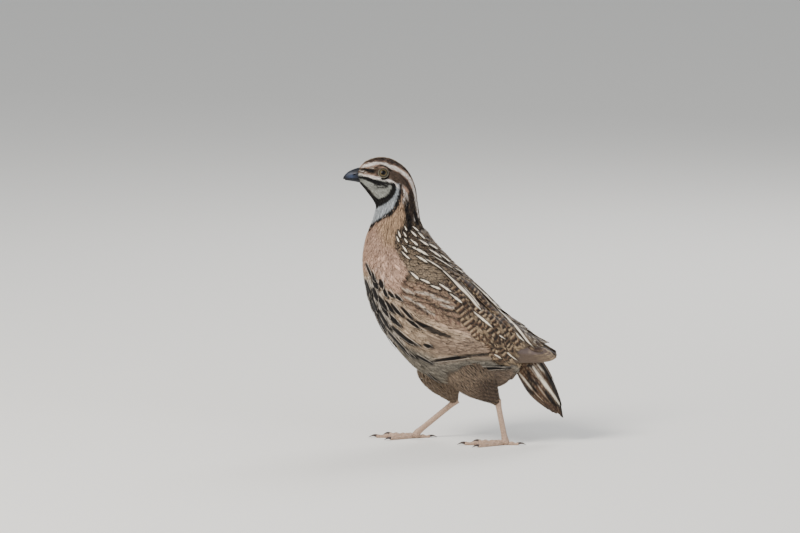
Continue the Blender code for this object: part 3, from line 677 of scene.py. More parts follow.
def wave(turns):
    """A wave from -1 to 1, with a crest at each whole number."""
    return np.cos(2 * np.pi * turns)


def mix(a, b, amount):
    """Colours a where the amount is 0 and b where it is 1."""
    return a + (b - a) * np.asarray(amount)[..., None]


def hull_points(rows, t, degrees):
    """Points round the sections. Degrees run from the back's midline, negative on the bird's left."""
    back_x, back_z, belly_x, belly_z, wide, roundness, pear = np.moveaxis(along(rows, t), -1, 0)
    turn = np.radians(np.abs(degrees))
    c, s = np.cos(turn), np.abs(np.sin(turn))
    up = np.sign(c) * np.abs(c) ** (2 / roundness)
    out = s ** (2 / roundness) * (1 - pear * up)
    x = (back_x + belly_x) / 2 + (back_x - belly_x) / 2 * up + SHIFT
    z = (back_z + belly_z) / 2 + (back_z - belly_z) / 2 * up
    return np.stack((x, np.where(degrees < 0, -1, 1) * wide * out, z), -1)


def hull(rows, t, degrees):
    """The sections' points and outward normals."""
    t, degrees = np.broadcast_arrays(np.asarray(t, float), np.asarray(degrees, float))
    here = hull_points(rows, t, degrees)
    ahead = hull_points(rows, t + 0.04, degrees) - hull_points(rows, t - 0.04, degrees)
    turned = hull_points(rows, t, degrees + 1.5) - hull_points(rows, t, degrees - 1.5)
    normal = unit(np.cross(ahead, turned))
    middle = (hull_points(rows, t, degrees * 0) + hull_points(rows, t, degrees * 0 + 180)) / 2
    return here, normal * np.where(dot(normal, here - middle)[..., None] < 0, -1, 1)


def wing_bounds(t):
    """The folded wing's upper and lower edge in degrees."""
    first, last = WING_EDGES[0][0], WING_EDGES[-1][0]
    f = np.clip((t - first) / (last - first), 0, 1) * (len(WING_EDGES) - 1)
    _, upper, lower = np.moveaxis(along(WING_EDGES, f), -1, 0)
    return f, upper, lower


def wing_swell(t, degrees):
    """How far the folded wing stands off the sections, fading out round its edges."""
    f, upper, lower = wing_bounds(t)
    b = (np.abs(degrees) - upper) / (lower - upper)
    high = 0.55 + along(WING_CREST, f)[..., 0] * np.sin(np.pi * np.clip(b, 0.0, 1.0)) ** 0.7
    edges = np.clip((b + 0.3) / 0.3, 0, 1) * np.clip((1.3 - b) / 0.3, 0, 1)
    return high * edges * np.clip((t - 0.5) / 0.9, 0, 1)


def wing_surface(t, degrees):
    point, normal = hull(WING, t, degrees)
    return point + normal * wing_swell(*np.broadcast_arrays(t, degrees))[..., None], normal


def body_surface(t, degrees):
    """The outside of the bird down to the rump, over the wings' front half."""
    point, normal = hull(BODY, t, degrees)
    t, degrees = np.broadcast_arrays(t, degrees)
    swell = wing_swell(t - WING_START, degrees) * np.clip((12.4 - t) / 0.9, 0, 1)
    return point + normal * swell[..., None], normal


def tail_surface(t, degrees):
    return hull(TAIL, t, degrees)


def on_side(point, side):
    """A leg's point on its own side of the bird."""
    return np.array((point[0] + SHIFT, side * point[1], point[2]))


def thigh_surface(leg):
    """The surface of one thigh, by share of its length and degrees round it."""
    side, hip, heel, _ = LEGS[leg]
    start, end = on_side(hip, side), on_side(heel, side)
    ahead = unit(end - start)
    wide = unit(np.array((0, side, 0)) - ahead * ahead[1] * side)
    deep = np.cross(wide, ahead) * side

    def surface(t, degrees):
        t, degrees = np.broadcast_arrays(t, degrees)
        f, r_deep, r_wide = np.moveaxis(along(THIGH, np.clip(t, 0, 1) * (len(THIGH) - 1)), -1, 0)
        turn = np.radians(degrees)
        out = deep * (r_deep * np.cos(turn))[..., None] + wide * (r_wide * np.sin(turn))[..., None]
        normal = deep * (np.cos(turn) / r_deep)[..., None] + wide * (np.sin(turn) / r_wide)[..., None]
        return start + (end - start) * f[..., None] + out, unit(normal + ahead * 0.01)

    return surface


# The plan of the markings


def plan(points):
    """Where points in millimetres show on the plan of the bird's side."""
    high = points[..., 2] * math.cos(PLAN_TILT) - np.abs(points[..., 1]) * math.sin(PLAN_TILT)
    return PLAN_ORIGIN[0] + (points[..., 0] - SHIFT) / PLAN_UNIT, PLAN_ORIGIN[1] - high / PLAN_UNIT


def near_line(c, x, y, reach):
    """Which places are no farther than this from the box round a line's points."""
    across = (x > c[:, 0].min() - reach) & (x < c[:, 0].max() + reach)
    return across & (y > c[:, 1].min() - reach) & (y < c[:, 1].max() + reach)


def gap_to_segment(a, b, px, py):
    """How far places lie from a segment, and the share of its length where they are nearest to it."""
    dx, dy = b[0] - a[0], b[1] - a[1]
    f = np.clip(((px - a[0]) * dx + (py - a[1]) * dy) / (dx * dx + dy * dy), 0, 1)
    return np.hypot(px - a[0] - f * dx, py - a[1] - f * dy), f


def inside(corners, x, y, soft):
    """1 inside an outline on the plan and 0 outside it, over an edge this soft."""
    c = np.array(corners, float)
    out = np.zeros(x.shape)
    near = near_line(c, x, y, soft)
    px, py = x[near], y[near]
    gap, within = np.full(px.shape, np.inf), np.zeros(px.shape, bool)
    for a, b in zip(c, np.roll(c, -1, 0)):
        gap = np.minimum(gap, gap_to_segment(a, b, px, py)[0])
        if b[1] != a[1]:
            crossing = a[0] + (py - a[1]) * (b[0] - a[0]) / (b[1] - a[1])
            within ^= ((a[1] > py) != (b[1] > py)) & (px < crossing)
    out[near] = ramp(-soft, soft, np.where(within, gap, -gap))
    return out


def band(line, x, y, soft, wider):
    """1 on a line of (x, y, half width) on the plan, and 0 beside it."""
    c = np.array(line, float)
    c[:, 2] += wider
    out = np.zeros(x.shape)
    near = near_line(c, x, y, c[:, 2].max() + soft)
    px, py = x[near], y[near]
    gap = np.full(px.shape, np.inf)
    for a, b in zip(c, c[1:]):
        far, f = gap_to_segment(a, b, px, py)
        gap = np.minimum(gap, far - a[2] - (b[2] - a[2]) * f)
    out[near] = ramp(soft, -soft, gap)
    return out


def bands(lines, x, y, soft=0.7, wider=0.0):
    """1 on any of these lines, and 0 beside them."""
    made = np.zeros(x.shape)
    for line in lines:
        made = np.maximum(made, band(line, x, y, soft, wider))
    return made


def extra(draw, k):
    """A further random value from the same draw."""
    return np.modf(draw * (3.7 + 1.9 * k))[0]


def mottle(x, y, size):
    """An uneven pattern from -1 to 1 on the plan, with blotches about this large."""
    x, y = x / size, y / size
    ahead = np.sin(1.9 * x + 1.6 * np.sin(1.3 * y + 0.7 * x))
    return ahead * np.sin(2.1 * y + 1.7 * np.sin(1.1 * x - 0.5 * y))


def back_marks(rgb, x, y, draw):
    """Back and folded wing over their ground colour: tracts, cross-bars and shaft streaks."""
    made = ground("back", rgb)
    for name, soft, corners in BACK_ZONES:
        made = tint(made, name, inside(corners, x, y, soft))
    mantle = fade(MANTLE_X, x) * fade(MANTLE_Y, y)
    made = shade(made, (0.72 + 0.56 * draw) * (1 - 0.3 * mantle))
    ahead = x * BACK_LIE[0] + y * BACK_LIE[1]
    aside = x * BACK_LIE[1] - y * BACK_LIE[0]
    barred = inside(BARRED_ZONE, x, y, 4)
    fine = wave(ahead / FINE_BARS + 0.6 * np.sin(aside / 1.7) + 0.3 * draw)
    made = tint(made, "black", ramp(0.0, 0.8, fine) * (0.45 - 0.3 * barred))
    made = tint(made, "bar", ramp(0.3, 0.9, -fine) * (0.36 - 0.2 * barred))
    offset = 0.22 * draw + 0.16 * mottle(x, y, 2.6)
    broad = wave(ahead / BROAD_BARS + 0.5 * np.sin(aside / 4.3) + offset)
    made = tint(made, "black", ramp(0.35, 0.62, broad) * barred * 0.85)
    made = mix(made, colour("bar") * 1.15, ramp(0.8, 0.93, broad) * barred * 0.95)
    made = tint(made, "black", ramp(-0.55, -0.9, broad) * barred * 0.5)
    ticks = wave(ahead / TICKS_AHEAD + 0.5 * draw) * wave(aside / TICKS_ASIDE + 0.3 * draw)
    dark = tint(ground("crown", rgb), "cream", ramp(0.5, 0.8, ticks) * 0.7)
    made = mix(made, dark, inside(DORSAL_ZONE, x, y, 2.0) * 0.92)
    made = tint(made, "black", bands(DARK_STREAKS, x, y, 1.0, 0.3) * 0.8)
    made = tint(made, "pale", bands(PALE_STREAKS, x, y, 1.2, -0.2) * 0.65)
    made = tint(made, "black", bands(CREAM_STREAKS, x, y, 1.2, 1.0) * 0.6)
    return mix(rgb, made, inside(WING_ZONE, x, y, 2.0))


def head_marks(rgb, x, y, draw, points):
    """Crown, brow, eye-line, cheek, gorget, necklace and nape."""
    zones = {name: inside(corners, x, y, soft) for name, soft, corners in HEAD_ZONES}
    for name, zone in zones.items():
        rgb = tint(rgb, name, zone)
    off_middle = np.abs(points[..., 1])
    blotch = mottle(x, y, 1.6)
    grain = extra(draw, 3)
    specks = ramp(0.15, 0.7, blotch) * (0.4 + 0.6 * extra(draw, 2))
    rgb = tint(rgb, "covert", zones["crown"] * specks * 0.8)
    crown_line = ramp(1.2, 0.5, off_middle) * zones["crown"] * fade(CROWN_LINE_Y, y)
    rgb = tint(rgb, "bar", crown_line * 0.6)
    neck = fade(NECK_TOP_Y, y) * fade(NECK_LOW_Y, y)
    rgb = shade(rgb, 1 + 0.16 * blotch * neck)
    flecks = ramp(0.3, 0.75, mottle(x, y, 0.8)) * fade(FLECKS_X, x) * fade(FLECKS_REAR_X, x)
    flecks = flecks * fade(FLECKS_TOP_Y, y) * fade(FLECKS_LOW_Y, y)
    rgb = tint(rgb, "lore", flecks * 0.45)
    dark = bands(DARK_LINES, x, y, 1.0) * (0.6 + 0.4 * ramp(0.2, 0.5, grain))
    rgb = tint(rgb, "crown", dark * 0.95)
    rgb = tint(rgb, "white", bands(BROKEN_WHITE, x, y, 1.0) * ramp(0.25, 0.6, grain) * 0.9)
    rgb = tint(rgb, "white", bands(WHITE_LINES, x, y) * ramp(1.6, 2.6, off_middle))
    broken = ramp(-1.1, -0.5, blotch + grain - 0.5)
    rgb = tint(rgb, "black", bands(BROKEN_BLACK, x, y, 0.9, 0.5) * broken)
    return tint(rgb, "black", bands(BLACK_LINES, x, y, 0.7, 0.25))


def markings(points, draw, loose=1.0):
    """The bird's colours at these points. The draws roughen the edges between them."""
    x, y = plan(points)
    draw = np.broadcast_to(draw, x.shape)
    x = x + (draw - 0.5) * loose
    y = y + (extra(draw, 1) - 0.5) * loose
    rgb = ground("breast", points)
    for name, soft, corners in BODY_ZONES:
        rgb = tint(rgb, name, inside(corners, x, y, soft))
    rgb = shade(rgb, 1 + 0.14 * mottle(x, y, 2.0) + 0.08 * mottle(x, y, 5.0))
    front = fade(FRONT_X, x) * fade(FRONT_Y, y)
    white = ramp(0.1, 0.7, mottle(x, y, 2.6)) * front * fade(WHITE_MOTTLE_X, x)
    rgb = tint(rgb, "white", white * 0.4)
    streaks = bands(FLANK_STREAKS, x, y, 0.9, 0.9)
    rgb = tint(rgb, "black", streaks * (0.92 + 0.08 * front))
    rgb = back_marks(rgb, x, y, draw)
    return head_marks(rgb, x, y, draw, points)


def lie(points):
    """The way the plumage points, as directions in space before they are laid on a surface."""
    x, y = plan(points)
    gap = (x[..., None] - LIE[:, 0]) ** 2 + (y[..., None] - LIE[:, 1]) ** 2
    weight = 1 / (gap + LIE_REACH**2 / 2) ** 2
    turn = np.radians((weight * LIE[:, 2]).sum(-1) / weight.sum(-1))
    return np.stack((np.cos(turn), 0 * turn, -np.sin(turn)), -1)


# Meshes


def new_mesh(name, verts, faces):
    """A mesh from points in millimetres and arrays of faces, one array for each number of sides."""
    mesh = bpy.data.meshes.new(name)
    flat = np.concatenate([np.ravel(f) for f in faces])
    sizes = np.concatenate([np.full(len(f), f.shape[1]) for f in faces])
    mesh.vertices.add(len(verts))
    mesh.vertices.foreach_set("co", (verts * MM).astype(np.float32).ravel())
    mesh.loops.add(len(flat))
    mesh.loops.foreach_set("vertex_index", flat.astype(np.int32))
    mesh.polygons.add(len(sizes))
    starts = np.concatenate(([0], np.cumsum(sizes)[:-1]))
    mesh.polygons.foreach_set("loop_start", starts.astype(np.int32))
    mesh.polygons.foreach_set("use_smooth", np.full(len(sizes), True))
    mesh.update(calc_edges=True)
    return mesh


def positions(mesh):
    """A mesh's points in millimetres."""
    co = np.empty(len(mesh.vertices) * 3, np.float32)
    mesh.vertices.foreach_get("co", co)
    return co.reshape(-1, 3).astype(float) / MM


def from_bmesh(bm, name):
    """A smooth mesh with this name, made of a bmesh that isn't needed any more."""
    mesh = bpy.data.meshes.new(name)
    bm.to_mesh(mesh)
    bm.free()
    mesh.shade_smooth()
    return mesh


def add_colours(mesh, rgb):
    """The piece's own colours, one for each point."""
    layer = mesh.color_attributes.new(name="plumage", type="FLOAT_COLOR", domain="POINT")
    rgba = np.ones((len(mesh.vertices), 4), np.float32)
    rgba[:, :3] = np.clip(rgb.reshape(-1, 3), 0.002, 1)
    layer.data.foreach_set("color", rgba.ravel())


def add_patch(mesh, uv):
    """The map that the baking uses: uv holds a place for each vertex."""
    corners = np.empty(len(mesh.loops), np.int32)
    mesh.loops.foreach_get("vertex_index", corners)
    layer = mesh.uv_layers.new(name="OFBake")
    layer.data.foreach_set("uv", uv.reshape(-1, 2)[corners].astype(np.float32).ravel())


def unwrap(t, degrees):
    """Where a place on the body lies on the skin's own unwrapped shape."""
    return np.stack((t / 17 * 0.98 + 0.01, (degrees % 360) / 360 * 0.98 + 0.01), -1)


def thigh_unwrap(leg, t, degrees):
    half = 0.5 if leg == "left" else 0.0
    return np.stack((0.945 + t * 0.05, (degrees % 360) / 730 + half + 0.003), -1)


def link(obj):
    """Puts a new object in the scene."""
    bpy.context.scene.collection.objects.link(obj)
    return obj


def finish(mesh, name, material, replaced=()):
    """Links a finished piece, rides it on the body and hides the solids it stands for."""
    obj = link(bpy.data.objects.new(name, mesh))
    mesh.materials.append(material)
    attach(obj, "root")
    if replaced:
        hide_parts(*replaced)
    return obj


def sheet(name, place, rows, columns, patch=None):
    """A grid bent to place(along, round), its seam and poles joined, and its open ends closed."""
    bm = bmesh.new()
    layer = bm.loops.layers.uv.new("OFBake")
    bmesh.ops.create_grid(bm, x_segments=columns, y_segments=rows, size=0.5)
    flat = np.array([v.co for v in bm.verts]) + 0.5
    points = place(flat[:, 1], flat[:, 0]) * MM
    spots = flat[:, :2] if patch is None else patch(flat[:, 1], flat[:, 0])
    for face in bm.faces:
        for loop in face.loops:
            loop[layer].uv = spots[loop.vert.index]
    for vert, point in zip(bm.verts, points):
        vert.co = point
    bmesh.ops.remove_doubles(bm, verts=bm.verts, dist=1e-7)
    rims = [e for e in bm.edges if e.is_boundary]
    for face in bmesh.ops.holes_fill(bm, edges=rims, sides=0)["faces"]:
        for loop in face.loops:
            spot = next(other for other in loop.vert.link_loops if other.face != face)
            loop[layer].uv = spot[layer].uv
    bmesh.ops.recalc_face_normals(bm, faces=bm.faces)
    return from_bmesh(bm, name)


def vane_template(stations, across):
    """One feather's faces: a grid for its top, a bridge for its underside, and closed ends."""
    edge = 0.49  # what lies farther out than this on the grid is its rim
    bm = bmesh.new()
    bmesh.ops.create_grid(bm, x_segments=across - 1, y_segments=stations - 1, size=0.5)
    order = sorted(bm.verts, key=lambda v: (round(v.co.y, 6), round(v.co.x, 6)))
    rank = {v: k for k, v in enumerate(order)}
    for vert in bm.verts:
        if abs(vert.co.x) < edge:
            vert.co.z = 0.1
    sides = [e for e in bm.edges if all(abs(v.co.x) > edge for v in e.verts)]
    bmesh.ops.bridge_loops(bm, edges=sides)
    rims = [e for e in bm.edges if e.is_boundary]
    bmesh.ops.holes_fill(bm, edges=rims, sides=0)
    bmesh.ops.recalc_face_normals(bm, faces=bm.faces)
    faces = [[rank[v] for v in f.verts] for f in bm.faces]
    bm.free()
    sizes = sorted({len(f) for f in faces})
    return [np.array([f for f in faces if len(f) == size]) for size in sizes]


# Feathers


def lay(surface, t, degrees, length, stations, rng, sway, turns=1, way=lie):
    """Lines over a surface from these roots, of these lengths in mm, that follow the lie of the coat.
    Each strays from it by a random turn, of sway degrees as a rule."""
    turn = np.radians(rng.normal(0, sway, len(t)))[..., None]
    T, D = [t], [degrees]
    step = length / (stations - 1)
    every = max(1, (stations - 1) // turns)
    for k in range(stations - 1):
        if k % every == 0:
            here, normal = surface(t, degrees)
            by_t = (surface(t + 0.03, degrees)[0] - here) / 0.03
            by_degree = surface(t, degrees + 1.0)[0] - here
            goal = by_t if way is None else way(here)
            goal = unit(goal - normal * dot(goal, normal)[..., None])
            goal = goal * np.cos(turn) + np.cross(normal, goal) * np.sin(turn)
            a, b, c = dot(by_t, by_t), dot(by_t, by_degree), dot(by_degree, by_degree)
            p, q = dot(goal, by_t), dot(goal, by_degree)
            whole = np.maximum(a * c - b * b, 1e-9)
            ahead_t, ahead_degrees = (p * c - q * b) / whole, (q * a - p * b) / whole
        t = t + ahead_t * step
        degrees = degrees + np.clip(ahead_degrees * step, -40, 40)
        T.append(t)
        D.append(degrees)
    return np.stack(T, 1), np.stack(D, 1)


def feather_shape(v, kind):
    """A feather's half width along its length, from 0 to 1."""
    if kind == "tuft":
        return np.interp(v, (0, 0.35, 0.7, 1), (0.55, 1.0, 0.8, 0.16))
    rise, narrow, power, least = {
        "blade": (0.35, 0.62, 2.2, 0.1),
        "lance": (0.3, 0.45, 1.7, 0.1),
        "contour": (0.4, 0.5, 2.0, 0.3),
    }[kind]
    tip = np.sqrt(np.clip(1 - np.clip((v - narrow) / (1.005 - narrow), 0, 1) ** power, least**2, 1))
    return (0.5 + 0.5 * ramp(0, rise, v)) * tip


LOOK = {"bend": 16.0, "fringe": 0.1, "ridge": 0.0, "thick": 0.06, "roll": 0.0, "patch": unwrap}


def feather_mesh(name, surface, T, D, half, height, paint, rng, kind, across, look):
    """Closed vanes along lines (T, D) over a surface. height is each station's lift in mm, and paint gives
    the colours from points, place across (-1 to 1), place along (0 to 1), and each one's draw and length."""
    look = {**LOOK, **look}
    count, stations = T.shape
    v = np.linspace(0, 1, stations)
    centre, normal = surface(T, D)
    centre = centre + normal * height[..., None]
    ahead = unit(np.gradient(centre, axis=1))
    out = unit(np.cross(ahead, normal))
    normal = np.cross(out, ahead)
    u = np.linspace(-1, 1, across)
    odd = np.arange(across) % 2
    wide = half[:, None] * feather_shape(v, kind)[None]
    w = wide[:, :, None] * u
    camber = (look["thick"] + 0.07 * wide)[:, :, None] * (1 - u**2) - w**2 / (2 * look["bend"])
    inner = np.abs(u) < 0.99
    camber = camber + look["ridge"] * np.where(odd, 1, -0.5) * inner + w * look["roll"]
    length = np.linalg.norm(centre[:, -1] - centre[:, 0], axis=-1)
    jag = (rng.random((count, across)) - 0.65) * look["fringe"] - look["fringe"] * 0.5 * odd
    reach = ramp(0.55, 1.0, v)[None, :, None] * jag[:, None] * length[:, None, None]
    points = centre[:, :, None] + out[:, :, None] * w[..., None]
    points = points + normal[:, :, None] * camber[..., None] + ahead[:, :, None] * reach[..., None]
    draw = np.broadcast_to(rng.random(count)[:, None, None], w.shape)
    u_all = np.broadcast_to(u, w.shape)
    v_all = np.broadcast_to(v[None, :, None], w.shape)
    rgb = paint(points, u_all, v_all, draw, length[:, None, None])
    start = (np.arange(count) * stations * across)[:, None, None]
    faces = [(f[None] + start).reshape(-1, f.shape[1]) for f in vane_template(stations, across)]
    mesh = new_mesh(name, points.reshape(-1, 3), faces)
    add_colours(mesh, rgb)
    root = look["patch"](T[:, 0], D[:, 0])
    local = np.stack(np.broadcast_arrays(u * PATCH / 2, v[:, None] * PATCH), -1)
    add_patch(mesh, np.clip(root[:, None, None] + local[None], 0, 1))
    return mesh


def plumage(name, material, slot, *shape):
    """Builds and finishes one piece of feathers."""
    finish(feather_mesh(name, *shape), name, material)


def sunk(v, depth, rise):
    """The lift along a long feather: sunk this deep at its root, and raised this much at its tip."""
    return rise * v - depth * (1 - v) ** 2


def uneven(rng, count, low, spread):
    """A random value for each feather, from low up to low + spread."""
    return low + spread * rng.random(count)


def evenly(gap):
    """The same gap everywhere, in mm."""
    return lambda t, d: np.full(np.shape(t), gap)


def graded(table):
    """A gap that changes along the sections."""
    return lambda t, d: np.interp(t, *table)


def scatter(surface, t_range, spacing, rng, keep=None, tries=8, degrees=(-180, 180)):
    """Evenly spread roots over a surface, where spacing gives the distance between neighbours in mm."""
    density = settings().density
    probe_t, probe_d = np.meshgrid(np.linspace(*t_range, 60), np.linspace(*degrees, 90), indexing="ij")
    p = surface(probe_t, probe_d)[0]
    cell = np.linalg.norm(np.cross(p[1:, :-1] - p[:-1, :-1], p[:-1, 1:] - p[:-1, :-1]), axis=-1)
    room = cell / spacing(probe_t, probe_d)[:-1, :-1] ** 2
    total = int(room.sum() * tries * density)
    pick = rng.choice(room.size, total, p=(room / room.sum()).ravel())
    i, j = np.unravel_index(pick, room.shape)
    t = probe_t[i, j] + rng.random(total) * (probe_t[1, 0] - probe_t[0, 0])
    d = probe_d[i, j] + rng.random(total) * (probe_d[0, 1] - probe_d[0, 0])
    if keep is not None:
        wanted = keep(t, d)
        t, d = t[wanted], d[wanted]
    points, gaps = surface(t, d)[0], spacing(t, d) / math.sqrt(density)
    cells, kept = {}, []
    keys = np.floor(points / gaps.max()).astype(int).tolist()
    around = [(a, b, c) for a in (-1, 0, 1) for b in (-1, 0, 1) for c in (-1, 0, 1)]
    for n, ((i, j, k), (x, y, z), gap) in enumerate(zip(keys, points.tolist(), gaps.tolist())):
        limit = gap * gap
        others = (q for a, b, c in around for q in cells.get((i + a, j + b, k + c), ()))
        if all((q[0] - x) ** 2 + (q[1] - y) ** 2 + (q[2] - z) ** 2 >= limit for q in others):
            cells.setdefault((i, j, k), []).append((x, y, z))
            kept.append(n)
    return t[kept], d[kept]


def seat(surface, x, y, t_range, degree_range):
    """Where points of the plan lie on a surface's right side, as section and degrees."""
    steps, window = 300, 4
    t, d = np.meshgrid(np.linspace(*t_range, steps), np.linspace(*degree_range, steps), indexing="ij")
    px, py = (values.ravel() for values in plan(surface(t, d)[0]))
    found = []
    for a, b in zip(np.ravel(x), np.ravel(y)):
        near = np.flatnonzero((np.abs(px - a) < window) & (np.abs(py - b) < window))
        near = near if len(near) else np.arange(len(px))
        found.append(near[np.argmin((px[near] - a) ** 2 + (py[near] - b) ** 2)])
    return t.ravel()[found], d.ravel()[found]


def raised(length, stations, low, high, power=1.0):
    """Lifts each feather from its sunk root to its tip."""
    v = np.linspace(0, 1, stations)[None]
    low, high = (np.broadcast_to(value, length.shape)[:, None] for value in (low, high))
    return low + (high - low) * v**power


# Materials


def node(tree, kind, inputs=None, **values):
    """Adds a node with its settings. Inputs are values or other nodes' outputs, by name or number."""
    made = tree.nodes.new(kind)
    for name, value in values.items():
        setattr(made, name, value)
    for key, value in (inputs or {}).items():
        if isinstance(value, bpy.types.NodeSocket):
            tree.links.new(value, made.inputs[key])
        else:
            made.inputs[key].default_value = value
    return made


def new_material(name):
    """A material with a Principled shader and nothing else."""
    made = bpy.data.materials.new(name)
    made.use_nodes = True
    made.node_tree.nodes.clear()
    tree = made.node_tree
    shader = node(tree, "ShaderNodeBsdfPrincipled")
    out = node(tree, "ShaderNodeOutputMaterial", {"Surface": shader.outputs[0]})
    out.is_active_output = True
    return made, tree, shader


def painted_material(name, grain, tones, bump, shine, kind="ShaderNodeTexNoise"):
    """A piece's own painted colours, broken up and roughened by a pattern of this grain in metres."""
    if name in bpy.data.materials:
        return bpy.data.materials[name]
    made, tree, shader = new_material(name)
    hue = node(tree, "ShaderNodeAttribute", attribute_name="plumage")
    place = node(tree, "ShaderNodeTexCoord")
    pattern = node(tree, kind, {"Vector": place.outputs["Object"], "Scale": 1 / grain})
    value = pattern.outputs["Fac" if kind == "ShaderNodeTexNoise" else "Distance"]
    tone = node(tree, "ShaderNodeMapRange", {"Value": value, 1: 0.3, 2: 0.7, 3: tones[0], 4: tones[1]})
    scaled = {0: hue.outputs["Color"], 3: tone.outputs[0]}
    tinted = node(tree, "ShaderNodeVectorMath", scaled, operation="SCALE")
    relief = node(tree, "ShaderNodeBump", {"Height": value, "Strength": bump, "Distance": grain / 3})
    tree.links.new(tinted.outputs[0], shader.inputs["Base Color"])
    tree.links.new(relief.outputs[0], shader.inputs["Normal"])
    for key, amount in shine.items():
        shader.inputs[key].default_value = amount
    return made


def coat_material():
    """Matt keratin barbs: no gloss, and a soft sheen where the coat turns away from the eye."""
    shine = {
        "Roughness": 0.75,
        "IOR": 1.54,
        "Specular IOR Level": 0.12,
        "Sheen Weight": 0.05,
        "Sheen Roughness": 0.5,
    }
    return painted_material("contour feather barbs", 0.0005, (0.8, 1.18), 0.15, shine)


def vane_material():
    """Stiffer vanes: a faint silky gloss on the folded wing."""
    shine = {
        "Roughness": 0.6,
        "IOR": 1.54,
        "Specular IOR Level": 0.18,
        "Sheen Weight": 0.03,
        "Sheen Roughness": 0.4,
    }
    return painted_material("stiff feather vanes", 0.0004, (0.8, 1.18), 0.15, shine)


def bill_material():
    """Slate horn: smooth, with a low wax-like gloss."""
    shine = {"Roughness": 0.45, "IOR": 1.55, "Specular IOR Level": 0.25}
    return painted_material("slate bill horn", 0.0011, (0.85, 1.15), 0.1, shine)


def nostril_material():
    """The shadowed hollow of the nostril: black and without gloss."""
    shine = {"Roughness": 0.95, "Specular IOR Level": 0.05}
    return painted_material("nostril hollow shade", 0.0006, (0.9, 1.1), 0.0, shine)


def leg_material():
    """Dry scaled skin: fine cells between the plates, half matt."""
    shine = {"Roughness": 0.5, "IOR": 1.5}
    return painted_material("scaled leg skin", 0.0005, (0.75, 1.2), 0.5, shine, "ShaderNodeTexVoronoi")


def claw_material():
    """Dark horn with a dull polish."""
    return painted_material("horn claw", 0.0008, (0.85, 1.15), 0.15, {"Roughness": 0.38, "IOR": 1.55})


def lid_material():
    """Bare pebbled skin round the eye."""
    shine = {"Roughness": 0.5, "IOR": 1.45}
    return painted_material("bare eyelid skin", 0.0004, (0.8, 1.2), 0.5, shine, "ShaderNodeTexVoronoi")


def eye_material():
    """A wet eye: pupil and iris under a clear glossy cornea."""
    shine = {
        "Roughness": 0.4,
        "IOR": 1.376,
        "Specular IOR Level": 0.1,
        "Coat Weight": 0.14,
        "Coat Roughness": 0.03,
    }
    return painted_material("wet eye", 0.0006, (0.95, 1.05), 0.0, shine)


def plain_colour(mesh, text):
    """One colour all over a piece."""
    add_colours(mesh, np.broadcast_to(hex_colour(text), (len(mesh.vertices), 3)))


# Pieces


def join_limbs(skin, limbs):
    """One closed surface of the body and both thighs."""
    step = skin.modifiers.new("join", "BOOLEAN")
    step.operation = "UNION"
    step.operand_type = "COLLECTION"
    step.collection = limbs
    step.solver = "EXACT"
    bpy.context.view_layer.update()
    whole = skin.evaluated_get(bpy.context.evaluated_depsgraph_get())
    joined = bpy.data.meshes.new_from_object(whole)
    skin.modifiers.clear()
    skin.data = joined
    for obj in list(limbs.objects):
        bpy.data.objects.remove(obj)
    bpy.data.collections.remove(limbs)
    return joined


def make_skin():
    """The body under the feathers, in one closed surface, with the same markings, darkened a little as
    painted shade under the coat.
    """
    depth = settings().coat_depth / MM

    def body(along_it, round_it):
        t = along_it * BODY_END
        point, normal = hull(BODY, t, round_it * 360 - 180)
        return point - normal * (depth * np.clip(t / 3, 0.25, 1))[:, None]

    def spots(along_it, round_it):
        return unwrap(along_it * BODY_END, round_it * NEARLY_ROUND + 180.0)

    flesh = ("head", "neck", "torso", "thigh_left", "thigh_right")
    skin = finish(sheet("skin", body, 150, 120, spots), "skin", coat_material(), flesh)
    limbs = bpy.data.collections.new("limbs")
    bpy.context.scene.collection.children.link(limbs)
    for leg in LEGS:
        surface = thigh_surface(leg)

        def limb(along_it, round_it):
            point, normal = surface(along_it, round_it * 360)
            return point - normal * (0.9 * (1 - along_it))[:, None]

        def limb_spots(along_it, round_it):
            return thigh_unwrap(leg, along_it, round_it * NEARLY_ROUND)

        limbs.objects.link(bpy.data.objects.new("limb", sheet("limb", limb, 40, 40, limb_spots)))
    joined = join_limbs(skin, limbs)
    # painted shade: the markings are darkened all over, for the shade where the skin shows between the
    # feathers
    add_colours(joined, markings(positions(joined), 0.5, 0) * 0.8)


def marked(points, u, v, draw, length):
    """Paints small feathers: mostly the markings at each point, a little those at the feather's middle. Each
    is darker towards its root, painted shade where the feathers overlap, and differs in tone at random.
    """
    middle = points[:, points.shape[1] // 2, points.shape[2] // 2][:, None, None]
    rgb = markings(points * 0.75 + middle * 0.25, draw)
    # painted shade: each feather darkens towards its root, where the feathers above cover it
    return shade(rgb, (0.8 + 0.26 * v) * (0.7 + 0.58 * extra(draw, 4)))


def eye_middle(name):
    """The middle of an eye, in millimetres."""
    low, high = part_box("eye_" + name)
    return np.array((low + high) / 2) / MM


